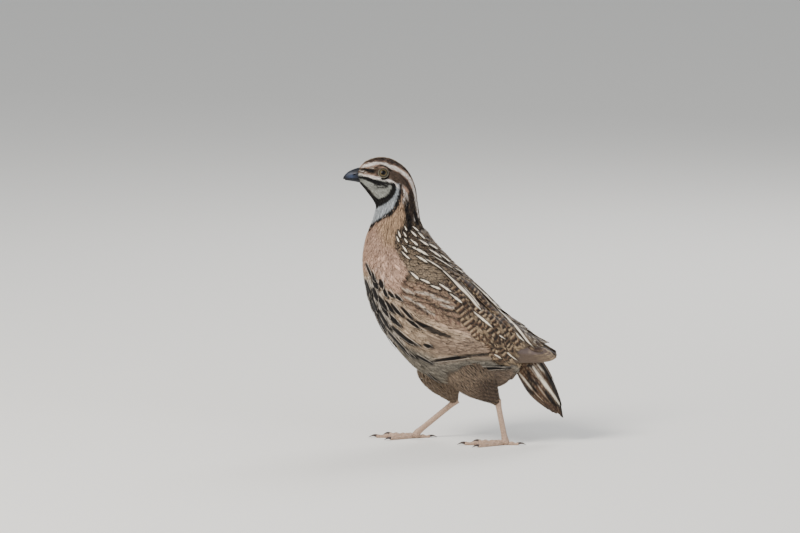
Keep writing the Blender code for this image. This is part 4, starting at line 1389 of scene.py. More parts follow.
def make_head_coat():
    """The shortest feathers, from the bill's base back over the face, crown, throat and neck."""
    rng = dice(2)
    eyes = [eye_middle(name) for name, _ in SIDES]
    spacing = graded(HEAD_GAPS)

    def clear_of_eyes(t, d):
        p = hull(BODY, t, d)[0]
        return np.all([np.hypot(p[:, 0] - e[0], p[:, 2] - e[2]) > EYE_CLEARANCE for e in eyes], axis=0)

    t, d = scatter(body_surface, (0.1, 7.4), spacing, rng, clear_of_eyes)
    length = np.interp(t, *HEAD_LENGTHS) * uneven(rng, len(t), 0.85, 0.3)
    look = {"bend": 6.0, "fringe": 0.2, "thick": 0.05}
    for name, chosen in (("coat_face", t < FACE_END), ("coat_neck", t >= FACE_END)):
        count, long = chosen.sum(), length[chosen]
        T, D = lay(body_surface, t[chosen], d[chosen], long, 4, rng, 7, way=None)
        height = raised(long, 4, -0.12 * long, uneven(rng, count, 0.02, 0.12))
        half = spacing(t, d)[chosen] * 0.52
        shape = (body_surface, T, D, half, height, marked, rng, "tuft", 3, look)
        plumage(name, coat_material(), "face", *shape)


def make_bill_bristles():
    """Tiny feathers that reach forward over the bill's base."""
    rng = dice(13)

    def forward(here):
        return np.broadcast_to((-1.0, 0.0, -0.25), here.shape)

    t, d = scatter(body_surface, (0.02, 0.35), evenly(0.34), rng)
    count = len(t)
    sides = ramp(30, 60, np.abs(d)) * ramp(130, 90, np.abs(d))
    length = 1.1 * uneven(rng, count, 0.6, 0.8) * (0.65 + 0.35 * sides)
    T, D = lay(body_surface, t, d, length, 4, rng, 10, way=forward)
    height = raised(length, 4, -0.1, uneven(rng, count, 0.06, 0.08))
    look = {"bend": 5.0, "fringe": 0.2, "thick": 0.04}
    shape = (body_surface, T, D, length * 0.13, height, marked, rng, "tuft", 3, look)
    plumage("bill_bristles", coat_material(), "face", *shape)


def off_the_wing(t, d):
    """Which places of the body the folded wing and the back leave free."""
    return inside(WING_ZONE, *plan(body_surface(t, d)[0]), 1.0) < 0.5


def make_under_coat(rng):
    """The broader feathers that fill the coat from below."""
    t, d = scatter(body_surface, (7.0, 14.9), evenly(2.3), rng, off_the_wing)
    length = 9.0 * uneven(rng, len(t), 0.85, 0.3)
    T, D = lay(body_surface, t, d, length, 6, rng, 5, turns=2)
    height = raised(length, 6, -1.2, -0.1)
    look = {"fringe": 0.2, "ridge": 0.03}
    T = np.clip(T, *COAT_RANGE)
    shape = (body_surface, T, D, length * 0.22, height, marked, rng, "contour", 7, look)
    plumage("coat_under", coat_material(), "buff", *shape)


def make_body_coat():
    """The loose contour feathers of the breast, flanks and belly, over a layer of broader ones."""
    rng = dice(3)
    make_under_coat(rng)
    spacing = graded(BODY_GAPS)
    t, d = scatter(body_surface, (7.1, 14.9), spacing, rng, off_the_wing)
    a = np.abs(d)
    low_down = ramp(9, 12, t) * ramp(110, 150, a)
    length = (np.interp(t, *BODY_LENGTHS) + 1.5 * low_down) * uneven(rng, len(t), 0.8, 0.4)
    half = spacing(t, d) * 0.5
    rear, flank = t >= BREAST_END, a <= 146
    parts = {
        "coat_breast": ~rear & (a > 60),
        "coat_belly": rear & ~flank,
        "coat_flank_left": rear & flank & (d < 0),
        "coat_flank_right": rear & flank & (d >= 0),
    }
    look = {"bend": 9.0, "fringe": 0.25}
    for name, chosen in parts.items():
        count, long = chosen.sum(), length[chosen]
        T, D = lay(body_surface, t[chosen], d[chosen], long, 4, rng, 9)
        T = np.clip(T, *COAT_RANGE)
        height = raised(long, 4, -0.7, uneven(rng, count, -0.15, 0.35))
        shape = (body_surface, T, D, half[chosen], height, marked, rng, "tuft", 3, look)
        plumage(name, coat_material(), "buff", *shape)


def placed(lines, surface, side, stations, reach):
    """Seats feathers along lines of the plan on one side, each reaching back a little under the others."""
    v = np.linspace(0, 1, stations)
    x, y = [], []
    for line in lines:
        c = np.array(line, float)[:, :2]
        c = np.vstack((c[0] + (c[0] - c[-1]) * 0.35, c, c[-1] + (c[-1] - c[0]) * 0.08))
        far = np.concatenate(([0], np.cumsum(np.hypot(*np.diff(c, axis=0).T))))
        x.append(np.interp(v * far[-1], far, c[:, 0]))
        y.append(np.interp(v * far[-1], far, c[:, 1]))
    seats = (found.reshape(len(lines), stations) for found in seat(surface, x, y, *reach))
    T, D = (np.array([np.polynomial.Polynomial.fit(v, row, 2)(v) for row in rows]) for rows in seats)
    return T, D * side


def widest_halves(lines):
    """The widest half width of each line, in plan units."""
    return np.array([max(point[2] for point in line) for line in lines])


def make_streaked_flanks():
    """The longer flank feathers, each with a black shaft streak between pale edges."""
    stations = 16
    widest = widest_halves(FLANK_STREAKS)
    broad_x, broad_y = BROAD_STREAKS
    broad = np.array([line[0][0] < broad_x and line[0][1] < broad_y for line in FLANK_STREAKS])
    halves = 0.6 + 0.7 * widest + 0.3 * broad
    shaft = (widest * PLAN_UNIT * np.where(broad, 2.1, 1.35) / halves)[:, None, None]

    def paint(points, u, v, draw, length):
        rgb = mix(markings(points, draw), colour("pale"), ramp(0.6, 0.95, np.abs(u)) * 0.5)
        ragged = 1 + 0.15 * np.sin(v * 17 + 9 * draw)
        width = shaft * ramp(0.0, 0.6, v) * ramp(1.05, 0.8, v) * ragged
        streak = ramp(0.12, -0.06, np.abs(u) - width) * ramp(0.08, 0.25, v)
        return tint(rgb, "black", streak)

    v = np.linspace(0, 1, stations)[None]
    look = {"bend": 9.0, "fringe": 0.16, "ridge": 0.012}
    for side_name, side in SIDES:
        rng = dice(15 + side)
        T, D = placed(FLANK_STREAKS, body_surface, side, stations, FLANK_REACH)
        height = uneven(rng, (len(T), 1), 0.3, 0.25) + sunk(v, 1.0, 0.1)
        shape = (body_surface, T, D, halves, height, paint, rng, "lance", 13, look)
        plumage("streaked_flank_" + side_name, coat_material(), "buff", *shape)


PLUME_ZONE = (
    (420, 322), (438, 327), (455, 331), (468, 337), (476, 345), (474, 353), (450, 353), (430, 347),
)


def make_plumes():
    """The long flank feathers that lie over the folded wing's lower edge."""

    def in_zone(t, d):
        return inside(PLUME_ZONE, *plan(wing_surface(t, d)[0]), 1.0) > 0.5

    look = {"bend": 12.0, "fringe": 0.12}
    for side_name, side in SIDES:
        rng = dice(9 + side)
        reach = (60, 128) if side > 0 else (-128, -60)
        t, d = scatter(wing_surface, (2.2, 6.4), evenly(0.85), rng, in_zone, degrees=reach)
        count = len(t)
        length = 8.5 * uneven(rng, count, 0.75, 0.4)
        T, D = lay(wing_surface, t, d, length, 7, rng, 5, turns=3)
        height = raised(length, 7, -0.7, uneven(rng, count, 1.25, 0.4), 0.7)
        half = uneven(rng, count, 0.6, 0.35)
        shape = (wing_surface, T, D, half, height, marked, rng, "lance", 5, look)
        plumage("plumes_" + side_name, coat_material(), "buff", *shape)


def thigh_marks(points, draw):
    """Brown thighs with fine pale and dark cross-bars, and blackish spots behind."""
    x, y = plan(points)
    draw = np.broadcast_to(draw, x.shape)
    rgb = shade(ground("thigh", points), 0.85 + 0.3 * draw)
    rear = fade(THIGH_REAR_X, x) * fade(THIGH_REAR_Y, y)
    rgb = tint(rgb, "back", rear * 0.7)
    rgb = shade(rgb, 1 + 0.15 * mottle(x, y, 2.4))
    bars = wave(y * 0.28 + 0.3 * np.sin(x / 4) + 0.5 * extra(draw, 1))
    rgb = tint(rgb, "bar", ramp(0.5, 0.9, bars) * 0.22)
    return tint(rgb, "crown", ramp(0.45, 0.85, -bars) * (0.18 + 0.5 * rear))


def make_thigh_coat():
    """Short feathers on the thighs, down to the heel."""
    rng = dice(4)
    grid = np.meshgrid(np.linspace(9, 15, 90), np.linspace(-180, 180, 90), indexing="ij")
    cloud, normals = (g.reshape(-1, 3) for g in hull(BODY, *grid))

    def paint(points, u, v, draw, length):
        # painted shade: each thigh feather darkens towards its root, under the ones above it
        return shade(thigh_marks(points, draw), 0.86 + 0.2 * v)

    for leg in LEGS:
        surface = thigh_surface(leg)

        def off_the_body(t, d):
            points = surface(t, d)[0]
            near = [np.argmin(((cloud - p) ** 2).sum(1)) for p in points]
            return dot(points - cloud[near], normals[near]) > -1.2

        t, d = scatter(surface, (0.05, 0.98), graded(THIGH_GAPS), rng, off_the_body, 5, (0, 360))
        count = len(t)
        length = np.interp(t, *THIGH_LENGTHS) * uneven(rng, count, 0.85, 0.3)
        T, D = lay(surface, t, d, length, 4, rng, 8, way=None)
        height = raised(length, 4, -0.35, uneven(rng, count, 0.2, 0.25)) - np.clip(T - 1, 0, None) * 2
        look = {"bend": 5.0, "fringe": 0.25, "patch": lambda t, d: thigh_unwrap(leg, t, d)}
        half = np.interp(t, *THIGH_HALVES)
        shape = (surface, T, D, half, height, paint, rng, "tuft", 3, look)
        plumage("coat_thigh_" + leg, coat_material(), "buff", *shape)


def back_paint(points, u, v, draw, length):
    """Back feathers: the markings over cross-bars, with a paler edge, and darker towards the root as painted
    shade under the overlapping feathers.
    """
    rgb = markings(points, draw, 0.4)
    edge = ramp(0.78, 0.95, np.maximum(np.abs(u), v * 0.98))
    rgb = tint(rgb, "bar", edge * 0.22 * (0.3 + 0.7 * extra(draw, 5)))
    # painted shade: darker towards the root, where the feathers above overlap it
    return shade(rgb, 0.7 + 0.36 * ramp(0.0, 0.6, v))


def primary_paint(points, u, v, draw, length):
    """Plain grey-brown with narrow pale edges that show as arcs at the stacked tips."""
    rgb = shade(ground("primary", points), 0.85 + 0.25 * draw)
    rim = np.sqrt(u**2 * 0.9 + np.clip((v - 0.8) / 0.2, 0, 1) ** 2)
    arcs = wave((1 - v) * length / 1.7 + 0.5 * u**2 + draw)
    rgb = tint(rgb, "bar", ramp(0.7, 0.95, arcs) * ramp(0.5, 0.7, v) * 0.22)
    rgb = tint(rgb, "back", ramp(0.6, 0.8, rim) * 0.45)
    tip = 0.22 + 0.36 * ramp(0.72, 0.86, v)
    return tint(rgb, "bar", ramp(0.87, 0.95, rim) * tip)


WING_TIERS = (
    # name, count, root and tip of the lowest feather and of the highest, half widths, lift, paint
    ("primaries", 9, ((4.9, 95), (8.75, 88.5)), ((4.9, 72), (8.05, 62)), (2.3, 2.7), -0.1, primary_paint),
    ("secondaries", 8, ((3.2, 103), (6.1, 95)), ((3.4, 84), (6.5, 80)), (2.6, 3.0), 0.05, back_paint),
    ("tertials", 5, ((3.4, 80), (6.3, 73)), ((3.4, 44), (7.1, 34)), (4.2, 4.3), 0.2, back_paint),
)


def wing_bed(name, side):
    """The wing's smooth inner body, which the feathers are rooted in, its markings darkened as painted shade
    where it shows between them.
    """
    thin_from = 4.4  # the section where the bed starts to thin out towards the tip

    def place(along_it, round_it):
        t = along(WING_EDGES, along_it * (len(WING_EDGES) - 1))[:, 0]
        _, upper, lower = wing_bounds(t)
        outer = round_it < 0.5
        b = np.where(outer, round_it * 2, 2 - round_it * 2) * 0.94 + 0.03
        degrees = side * (upper + (lower - upper) * b)
        point, normal = hull(WING, t, degrees)
        high = wing_swell(t, degrees) - 0.5
        deep = 1.2 - 0.55 * np.clip((t - thin_from) / 1.2, 0, 1)
        low = np.where(t < thin_from, -deep, high - np.maximum(0.35, deep))
        return point + normal * np.where(outer, high, np.minimum(low, high - 0.3))[:, None]

    def spots(along_it, round_it):
        t = along(WING_EDGES, along_it * (len(WING_EDGES) - 1))[:, 0]
        return back_unwrap(t, side * (30 + 100 * round_it))

    mesh = sheet("wing_bed_" + name, place, 40, 30, spots)
    # painted shade: the markings are darkened so that gaps between the wing feathers look shaded
    add_colours(mesh, markings(positions(mesh), 0.5, 0) * 0.7)
    finish(mesh, "wing_bed_" + name, vane_material(), ("wing_" + name,))


def back_unwrap(t, degrees):
    return unwrap(t + WING_START, degrees)


def make_long_feathers(name, side):
    """The long wing feathers, tier over tier, from the tip's up to those nearest the back."""
    rng = dice(5 if side < 0 else 6)
    v = np.linspace(0, 1, 30)
    look = {"bend": 14.0, "fringe": 0.03, "roll": -0.1 * side, "patch": back_unwrap}
    for tier, count, lowest, highest, halves, lift, paint in WING_TIERS:
        f = np.linspace(0, 1, count)
        (low_root, low_tip), (high_root, high_tip) = np.array(lowest), np.array(highest)
        root = low_root + (high_root - low_root) * f[:, None]
        tip = low_tip + (high_tip - low_tip) * f[:, None]
        root[:, 1] += rng.normal(0, 0.8, count)
        tip[:, 0] += rng.normal(0, 0.05, count)
        T = root[:, :1] + (tip - root)[:, :1] * v
        D = side * (root[:, 1:] + (tip - root)[:, 1:] * v)
        half = halves[0] + (halves[1] - halves[0]) * f
        height = lift + sunk(v[None], 0.7, 0.3) + 0.06 * f[:, None]
        shape = (wing_surface, T, D, half, height, paint, rng, "blade", 9, look)
        plumage(f"{tier}_{name}", vane_material(), "brown", *shape)


def barred_paint(points, u, v, draw, length):
    """Brown feathers crossed by thin cream bars, each with a black bar behind it, and darker towards the
    root as painted shade.
    """
    rgb = mix(ground("rufous", points), colour("tertial"), extra(draw, 1) * 0.45)
    rgb = shade(rgb, 0.6 + 0.5 * draw)
    step = (v * length / (2.2 + extra(draw, 3)) + 0.12 * np.abs(u) + 0.6 * draw) % 1.0
    rgb = tint(rgb, "black", ramp(0.15, 0.35, step) * ramp(0.86, 0.8, step) * 0.85)
    pale = ramp(0.82, 0.88, step) * ramp(1.0, 0.97, step)
    rgb = tint(rgb, "bar", pale * (0.6 + 0.4 * extra(draw, 2)))
    rgb = tint(rgb, "bar", ramp(0.86, 0.96, np.maximum(np.abs(u), v)) * 0.35)
    # painted shade: darker towards the root, where the feathers above overlap it
    return shade(rgb, 0.75 + 0.3 * ramp(0.1, 0.6, v))


BACK_LOOK = {"bend": 12.0, "ridge": 0.012, "patch": back_unwrap}


def make_small_back(name, side, rng):
    """The shorter feathers of back, shoulder and wing coverts."""
    last = 6.3  # the section where the rearmost are rooted, near the middle of the back

    def on_the_back(t, d):
        _, upper, lower = wing_bounds(t)
        on_wing = (t < 5) | ((np.abs(d) > upper - 3) & (np.abs(d) < lower + 2))
        x, y = plan(wing_surface(t, d)[0])
        barred = (inside(BARRED_ZONE, x, y, 1.0) > 0.5) & (inside(DORSAL_ZONE, x, y, 1.0) < 0.5)
        return on_wing & (inside(WING_ZONE, x, y, 1.0) > 0.5) & ~(barred & (t > 2.0))

    spacing = graded(BACK_GAPS)
    reach = (0, 130) if side > 0 else (-130, 0)
    t, d = scatter(wing_surface, (0.0, last), spacing, rng, on_the_back, degrees=reach)
    short = t < last - 0.7 * ramp(50, 80, np.abs(d))
    t, d = t[short], d[short]
    gap, count = spacing(t, d), len(t)
    length = gap * 4.4 * uneven(rng, count, 0.85, 0.3)
    T, D = lay(wing_surface, t, d, length, 9, rng, 5, turns=3)
    rear = ramp(3.5, 5, t)
    height = raised(length, 9, -0.8 + 0.5 * rear, uneven(rng, count, 0.35, 0.3) + 0.5 * rear)
    look = {**BACK_LOOK, "fringe": 0.12, "ridge": 0.015}
    shape = (wing_surface, T, D, gap * 0.8, height, back_paint, rng, "contour", 7, look)
    plumage("back_" + name, vane_material(), "brown", *shape)


def make_barred_back(name, side, rng):
    """The barred feathers of the shoulder and the inner wing."""
    T, D = placed(BARRED_FEATHERS, wing_surface, side, 34, BACK_REACH)
    v = np.linspace(0, 1, 34)[None]
    height = 0.5 + 0.04 * (np.arange(len(T)) % 13)[:, None] + sunk(v, 1.1, 0.25)
    half = np.full(len(T), 2.4)
    look = {**BACK_LOOK, "fringe": 0.08}
    shape = (wing_surface, T, D, half, height, barred_paint, rng, "contour", 13, look)
    plumage("barred_back_" + name, vane_material(), "brown", *shape)


def make_streaked_back(name, side, rng):
    """The dark feathers with a cream shaft streak, over all the others."""
    widest = widest_halves(CREAM_STREAKS)
    halves = 0.75 + 0.5 * widest
    shaft = (widest * PLAN_UNIT * np.where(widest < 1.45, 1.0, 0.95) / halves)[:, None, None]

    def paint(points, u, v, draw, length):
        dark = back_paint(points, u, v, draw, length)
        dark = tint(dark, "black", ramp(0.95, 0.55, np.abs(u)) * 0.8)
        taper = ramp(0.0, 0.75, v) * ramp(1.04, 0.84, v)
        ragged = 1 + 0.22 * np.sin(v * length * 2.3 + 9 * draw) * ramp(4, 9, length)
        streak = ramp(0.1, -0.06, np.abs(u) - shaft * ragged * taper)
        streak = streak * ramp(0.1, 0.3, v) * ramp(1.0, 0.95, v)
        # painted shade: the cream streak is darker towards the feather's root too, as if shaded by the
        # feathers above
        return mix(dark, shade(colour("cream"), 0.8 + 0.2 * ramp(0.2, 0.7, v)), streak)

    T, D = placed(CREAM_STREAKS, wing_surface, side, 18, BACK_REACH)
    v = np.linspace(0, 1, 18)[None]
    height = 0.75 + 0.35 * ramp(4, 6, T[:, :1]) + sunk(v, 1.0, 0.1)
    height = height * ramp(-0.5, 1.0, T[:, :1]) + rng.random((len(T), 1)) * 0.15
    look = {**BACK_LOOK, "fringe": 0.05}
    shape = (wing_surface, T, D, halves, height, paint, rng, "lance", 15, look)
    plumage("streaked_back_" + name, vane_material(), "brown", *shape)


def make_back(name, side):
    """The back's feathers on one side, in the order in which they overlap."""
    rng = dice(7 if side < 0 else 8)
    make_small_back(name, side, rng)
    make_barred_back(name, side, rng)
    make_streaked_back(name, side, rng)


def make_rump():
    """The feathers between the folded wings, down to the tail."""
    rng = dice(11)

    def between_wings(t, d):
        return inside(WING_ZONE, *plan(body_surface(t, d)[0]), 1.0) > 0.4

    t, d = scatter(body_surface, (11.6, 14.9), evenly(1.7), rng, between_wings, degrees=(-78, 78))
    count = len(t)
    length = 7.5 * uneven(rng, count, 0.85, 0.3)
    T, D = lay(body_surface, t, d, length, 7, rng, 5, turns=2)
    T = np.clip(T, *COAT_RANGE)
    height = raised(length, 7, -0.8, uneven(rng, count, 0.6, 0.3))
    look = {"bend": 12.0, "fringe": 0.12, "ridge": 0.015}
    shape = (body_surface, T, D, length * 0.18, height, back_paint, rng, "contour", 7, look)
    plumage("rump", vane_material(), "brown", *shape)


TAIL_TIERS = (
    # name, count, degrees of the outermost two, root and tip sections, by how much the outer ones fall
    # short, half width, lift
    ("under_tail_coverts", 9, (112, 248), 0.0, 3.0, 0.4, 1.9, 0.0),
    ("tail_feathers", 12, (-104, 104), 0.4, 4.0, 0.55, 2.0, 0.2),
    ("tail_coverts", 11, (-96, 96), 0.0, 3.2, 0.6, 1.9, 0.7),
    ("rump_coverts", 9, (-84, 84), -0.4, 2.0, 0.4, 2.0, 1.0),
)


def tail_paint(points, u, v, draw, length):
    """Dark brown crossed by fine pale bars, with broad cream and black shafts on the sides."""
    x, y = plan(points)
    rgb = mix(ground("back", points), colour("rufous"), 0.15 + 0.5 * draw)
    bars = wave(v * length / 2.2 + 0.5 * np.abs(u) + draw)
    rgb = tint(rgb, "bar", ramp(0.6, 0.9, bars) * 0.35)
    rgb = tint(rgb, "black", ramp(0.7, 0.95, np.abs(u)) * 0.4)
    shaft = ramp(0.16, 0.06, np.abs(u)) * ramp(0.4, 0.6, v) * (draw > 0.55)
    rgb = tint(rgb, "cream", shaft * 0.25)
    rgb = tint(rgb, "black", bands(TAIL_BLACKS, x, y, 1.2, 0.5) * 0.92)
    side_on = ramp(1.5, 3.0, np.abs(points[..., 1]))
    return tint(rgb, "cream", bands(TAIL_CREAMS, x, y, 0.7, -0.2) * side_on)


def tail_unwrap(t, degrees):
    """The tail's own end of the unwrapped shape."""
    return unwrap(15.2 + np.clip(t, 0, 4) * 0.15, degrees)


def make_tail():
    """The drooping tail: its core, the stiff feathers and the coverts over and under them."""
    rng = dice(12)
    core = 3.3  # how many sections the core reaches

    def place(along_it, round_it):
        point, normal = hull(TAIL, 0.1 + core * along_it, round_it * 360 - 180)
        return point - normal * 0.5

    def spots(along_it, round_it):
        return tail_unwrap(along_it * (core + 0.1), round_it * NEARLY_ROUND + 180.0)

    mesh = sheet("tail_bed", place, 24, 32, spots)
    plain_colour(mesh, TAIL_CORE)
    finish(mesh, "tail_bed", vane_material(), ("tail",))
    v = np.linspace(0, 1, 26)[None]
    look = {"bend": 6.0, "fringe": 0.12, "ridge": 0.02, "patch": tail_unwrap}
    for name, count, spread, root, tip, short_by, half, lift in TAIL_TIERS:
        f = np.linspace(-1, 1, count)
        degrees = (spread[0] + spread[1] + (spread[1] - spread[0]) * f) / 2
        degrees = np.where(degrees > 180, degrees - 360, degrees)
        end = tip - short_by * f**2 + rng.normal(0, 0.05, count)
        T = root + (end - root)[:, None] * v
        D = degrees[:, None] * (1 - 0.08 * v)
        height = lift + 0.3 * (1 - np.abs(f))[:, None] + sunk(v, 0.8, 0.1)
        halves = np.full(count, half)
        shape = (tail_surface, T, D, halves, height, tail_paint, rng, "blade", 9, look)
        plumage(name, vane_material(), "dark_brown", *shape)


def make_shank(leg):
    """One shank from heel to foot, with overlapping plates down its front."""
    side, _, heel, foot = LEGS[leg]
    top = on_side(heel, side)
    foot = on_side(foot, side) + (0, 0, 0.6)
    ahead = unit(foot - top)
    start = top - ahead * 1.5
    wide_way = unit(np.array((0.0, side, 0.0)) - ahead * ahead[1] * side)
    front_way = np.cross(wide_way, ahead)
    front_way = front_way * -np.sign(front_way[0])  # forward is -X
    plates = 14
    half_deep, half_wide = 1.3, 1.05  # in mm

    def place(f, round_it):
        a = round_it * 2 * np.pi
        joint = 0.45 * bell(f, 0.12) + 0.3 * bell(1 - f, 0.1)
        plate = 0.16 * np.sqrt(1 - (f * plates) % 1.0) * ((f > 0.1) & (f < 0.97))
        swell = plate * np.clip(np.cos(a), 0, 1) ** 0.7
        deep = (half_deep + joint + swell) * np.cos(a)
        wide = (half_wide + joint + swell * 0.5) * np.sin(a)
        return start + (foot - start) * f[:, None] + front_way * deep[:, None] + wide_way * wide[:, None]

    return sheet("shank_skin_" + leg, place, 100, 20)


def make_toe(leg, toe):
    """One toe with pads below and plates above, and its claw."""
    side, _, _, foot = LEGS[leg]
    angle, length, thick, plates = TOES[toe]
    turn = math.radians(angle * side)
    way = np.array((-math.cos(turn), math.sin(turn), 0.0))
    lateral = np.cross(way, (0, 0, 1.0))
    base = on_side((*foot[:2], 0.0), side)
    pads = 4 if length > 10 else 2
    pressed = 0.28  # how far the pads are flattened on the floor, in mm
    claw_length, claw_root = 4.1, 0.5

    def centre(f):
        floor = thick * (1 - 0.3 * f) + 0.12 * wave(f * pads) - pressed
        rise = (foot[2] - floor) * np.maximum(0.0, 1 - f / 0.34) ** 1.5
        return floor, base + way * (length * f)[:, None] + np.array((0, 0, 1.0)) * (floor + rise)[:, None]

    def place(f, round_it):
        a = round_it * 2 * np.pi
        floor, middle = centre(f)
        radius = (floor + pressed) * np.sqrt(np.maximum(0.15, 1 - (np.maximum(f - 0.96, 0) / 0.042) ** 2))
        up = radius * np.cos(a) + 0.12 * np.sqrt(1 - (f * plates) % 1.0) * np.clip(np.cos(a), 0, 1)
        point = middle + lateral * (radius * 0.95 * np.sin(a))[:, None]
        point[:, 2] = np.maximum(point[:, 2] + up, 0.0)
        return point

    end = centre(np.ones(1))[1][0]

    def claw(f, round_it):
        a = round_it * 2 * np.pi
        high = end[2] + 0.15 + 0.45 * np.sin(np.pi * f) - (end[2] - 0.1) * f**1.6
        radius = thick * 0.6 * (1 - f) ** 0.8 + 0.05
        middle = np.array((end[0], end[1], 0.0)) + way * (claw_length * f - claw_root)[:, None]
        point = middle + lateral * (radius * 0.75 * np.sin(a))[:, None]
        point[:, 2] = point[:, 2] + high + radius * np.cos(a)
        return point

    return sheet(f"toe_{leg}_{toe}", place, 80, 16), sheet(f"claw_horn_{leg}_{toe}", claw, 24, 12)


def make_sole(leg):
    """The pad under the toes' roots."""
    side, _, _, foot = LEGS[leg]
    bm = bmesh.new()
    bmesh.ops.create_uvsphere(bm, u_segments=20, v_segments=14, radius=1.95 * MM, calc_uvs=False)
    bmesh.ops.translate(bm, verts=bm.verts, vec=Vector(on_side(foot, side)) * MM)
    for vert in bm.verts:
        vert.co.z = max(vert.co.z, 0.0)
    return from_bmesh(bm, "sole")


def make_legs():
    """Shanks and toes with their plates, the soles and the claws."""
    for leg in LEGS:
        mesh = make_shank(leg)
        plain_colour(mesh, LEG_SKIN)
        finish(mesh, "shank_skin_" + leg, leg_material(), ("shank_" + leg,))
        for toe in TOES:
            mesh, claw = make_toe(leg, toe)
            plain_colour(mesh, LEG_SKIN)
            plain_colour(claw, CLAW_HORN)
            replaced = ("foot_" + leg,) if toe == "middle" else ()
            finish(mesh, f"toe_{leg}_{toe}", leg_material(), replaced)
            finish(claw, f"claw_horn_{leg}_{toe}", claw_material(), (f"claw_{leg}_{toe}",))
        mesh = make_sole(leg)
        plain_colour(mesh, LEG_SKIN)
        finish(mesh, "sole_pad_" + leg, leg_material())


def bill_colours_and_painted_light(points):
    """Slate, bluer on the sides with a paler painted highlight there, blackish at the base and the tip, and
    painted shade in the crease along the mouth's edge.
    """
    slate, side, dark, mouth = (hex_colour(text) for text in BILL_HORN_AND_PAINTED_LIGHT)
    reach = BILL_BASE[0] - (points[:, 0] - SHIFT)
    high = points[:, 2] - BILL_BASE[1]
    rgb = np.broadcast_to(slate, points.shape)
    # painted highlight: a paler patch on each side, over the horn's bluish tone
    pale = bell(reach - 3.6, 2.2) * bell(high - 1.6, 1.2)
    rgb = mix(rgb, side, pale * 0.9)
    ends = ramp(5.6, 7.2, reach) * 0.6 + ramp(1.0, -1.0, reach) * 0.6
    rgb = mix(rgb, dark, ends)
    # painted shade: a dark band in the crease where the two halves of the bill meet
    return mix(rgb, mouth, bell(high, 0.28) * 0.85)


def make_nostril(name, side):
    """A slit, sunk in the side of the upper half, painted near-black as the shade inside the nostril's
    hollow.
    """
    bm = bmesh.new()
    bmesh.ops.create_uvsphere(bm, u_segments=20, v_segments=12, radius=MM)
    middle = Vector((BILL_BASE[0] - 1.7 + SHIFT, side * 2.75, BILL_BASE[1] + 2.3))
    place = Matrix.Translation(middle * MM) @ Matrix.Rotation(math.radians(-14), 4, "Y")
    shape = Matrix.Diagonal((1.15, 0.4, 0.3, 1))
    bmesh.ops.transform(bm, matrix=place @ shape, verts=bm.verts)
    mesh = from_bmesh(bm, name)
    plain_colour(mesh, NOSTRIL_SHADE)
    finish(mesh, name, nostril_material())


def make_bill():
    """The two halves of the bill, with a nostril under a soft flap on each side."""
    sides_end = 0.8  # the share of the way round that the arch takes, before the flat underside
    for name, upper in (("upper", True), ("lower", False)):

        def place(along_it, round_it):
            ahead, height, depth, half = along(BILL, along_it * (len(BILL) - 1)).T
            reach = ahead if upper else ahead - 0.8 * np.maximum(ahead - 3, 0) / 4.4
            droop = 0.3 * (np.maximum(reach - 4, 0) / 3.4) ** 2
            tall, floor = (height, 0.1) if upper else (-depth, -0.1)
            a = np.pi * np.minimum(round_it / sides_end, 1)
            flat = (round_it - 0.9) / 0.1
            across = np.where(round_it < sides_end, np.cos(a), flat)
            arch = np.sin(a) ** 0.85
            y = half * across
            if upper:
                flap = bell(reach - 1.6, 1.5) * bell(arch - 0.52, 0.2)
                y = y + np.sign(across) * 0.3 * flap
            z = BILL_BASE[1] + floor + tall * arch - droop
            return np.stack((BILL_BASE[0] - reach + SHIFT, y, z), -1)

        mesh = sheet("bill_horn_" + name, place, 40, 44)
        add_colours(mesh, bill_colours_and_painted_light(positions(mesh)))
        finish(mesh, "bill_horn_" + name, bill_material(), ("bill_" + name,))
    for side_name, side in SIDES:
        make_nostril("nostril_" + side_name, side)


# Lid: distance from the eye's middle, and height over the eyeball, round its cross-section
LID_ROUND = (
    (1.88, 0.0), (1.88, 0.14), (1.97, 0.25), (2.15, 0.3), (2.35, 0.3), (2.52, 0.24), (2.66, 0.12),
    (2.74, -0.12), (2.5, -0.35), (2.2, -0.35), (1.98, -0.2), (1.88, 0.0),
)


def eye_stand(name, side):
    """Where an eye stands and the way it looks, and its radius in metres."""
    low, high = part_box("eye_" + name)
    centre = (low + high) / 2
    t, d = np.meshgrid(np.linspace(1, 5, 120), np.linspace(40, 130, 120), indexing="ij")
    points, normals = hull(BODY, t, side * d)
    near = np.argmin(((points * MM - np.array(centre)) ** 2).sum(-1).ravel())
    way = Vector(normals.reshape(-1, 3)[near])
    stand = Matrix.Translation(centre) @ way.to_track_quat("Z", "Y").to_matrix().to_4x4()
    return stand, (high.z - low.z) / 2


def eye_colours(co, r):
    """Pupil, iris with fine spokes, and the dark ring round it, by distance r from the middle."""
    iris, rim, pupil, ring = (hex_colour(text) for text in EYE_PARTS)
    a = np.arctan2(co[:, 1], co[:, 0])
    spokes = 0.85 + 0.15 * np.cos(a * 23) * np.cos(a * 9 + 1)
    rgb = np.broadcast_to(iris, (len(r), 3)) * spokes[:, None]
    rgb = mix(rgb, rim, fade(IRIS_RIM, r) * 0.6)
    rgb = mix(rgb, pupil, fade(PUPIL_EDGE, r))
    return mix(rgb, ring, fade(IRIS_EDGE, r))


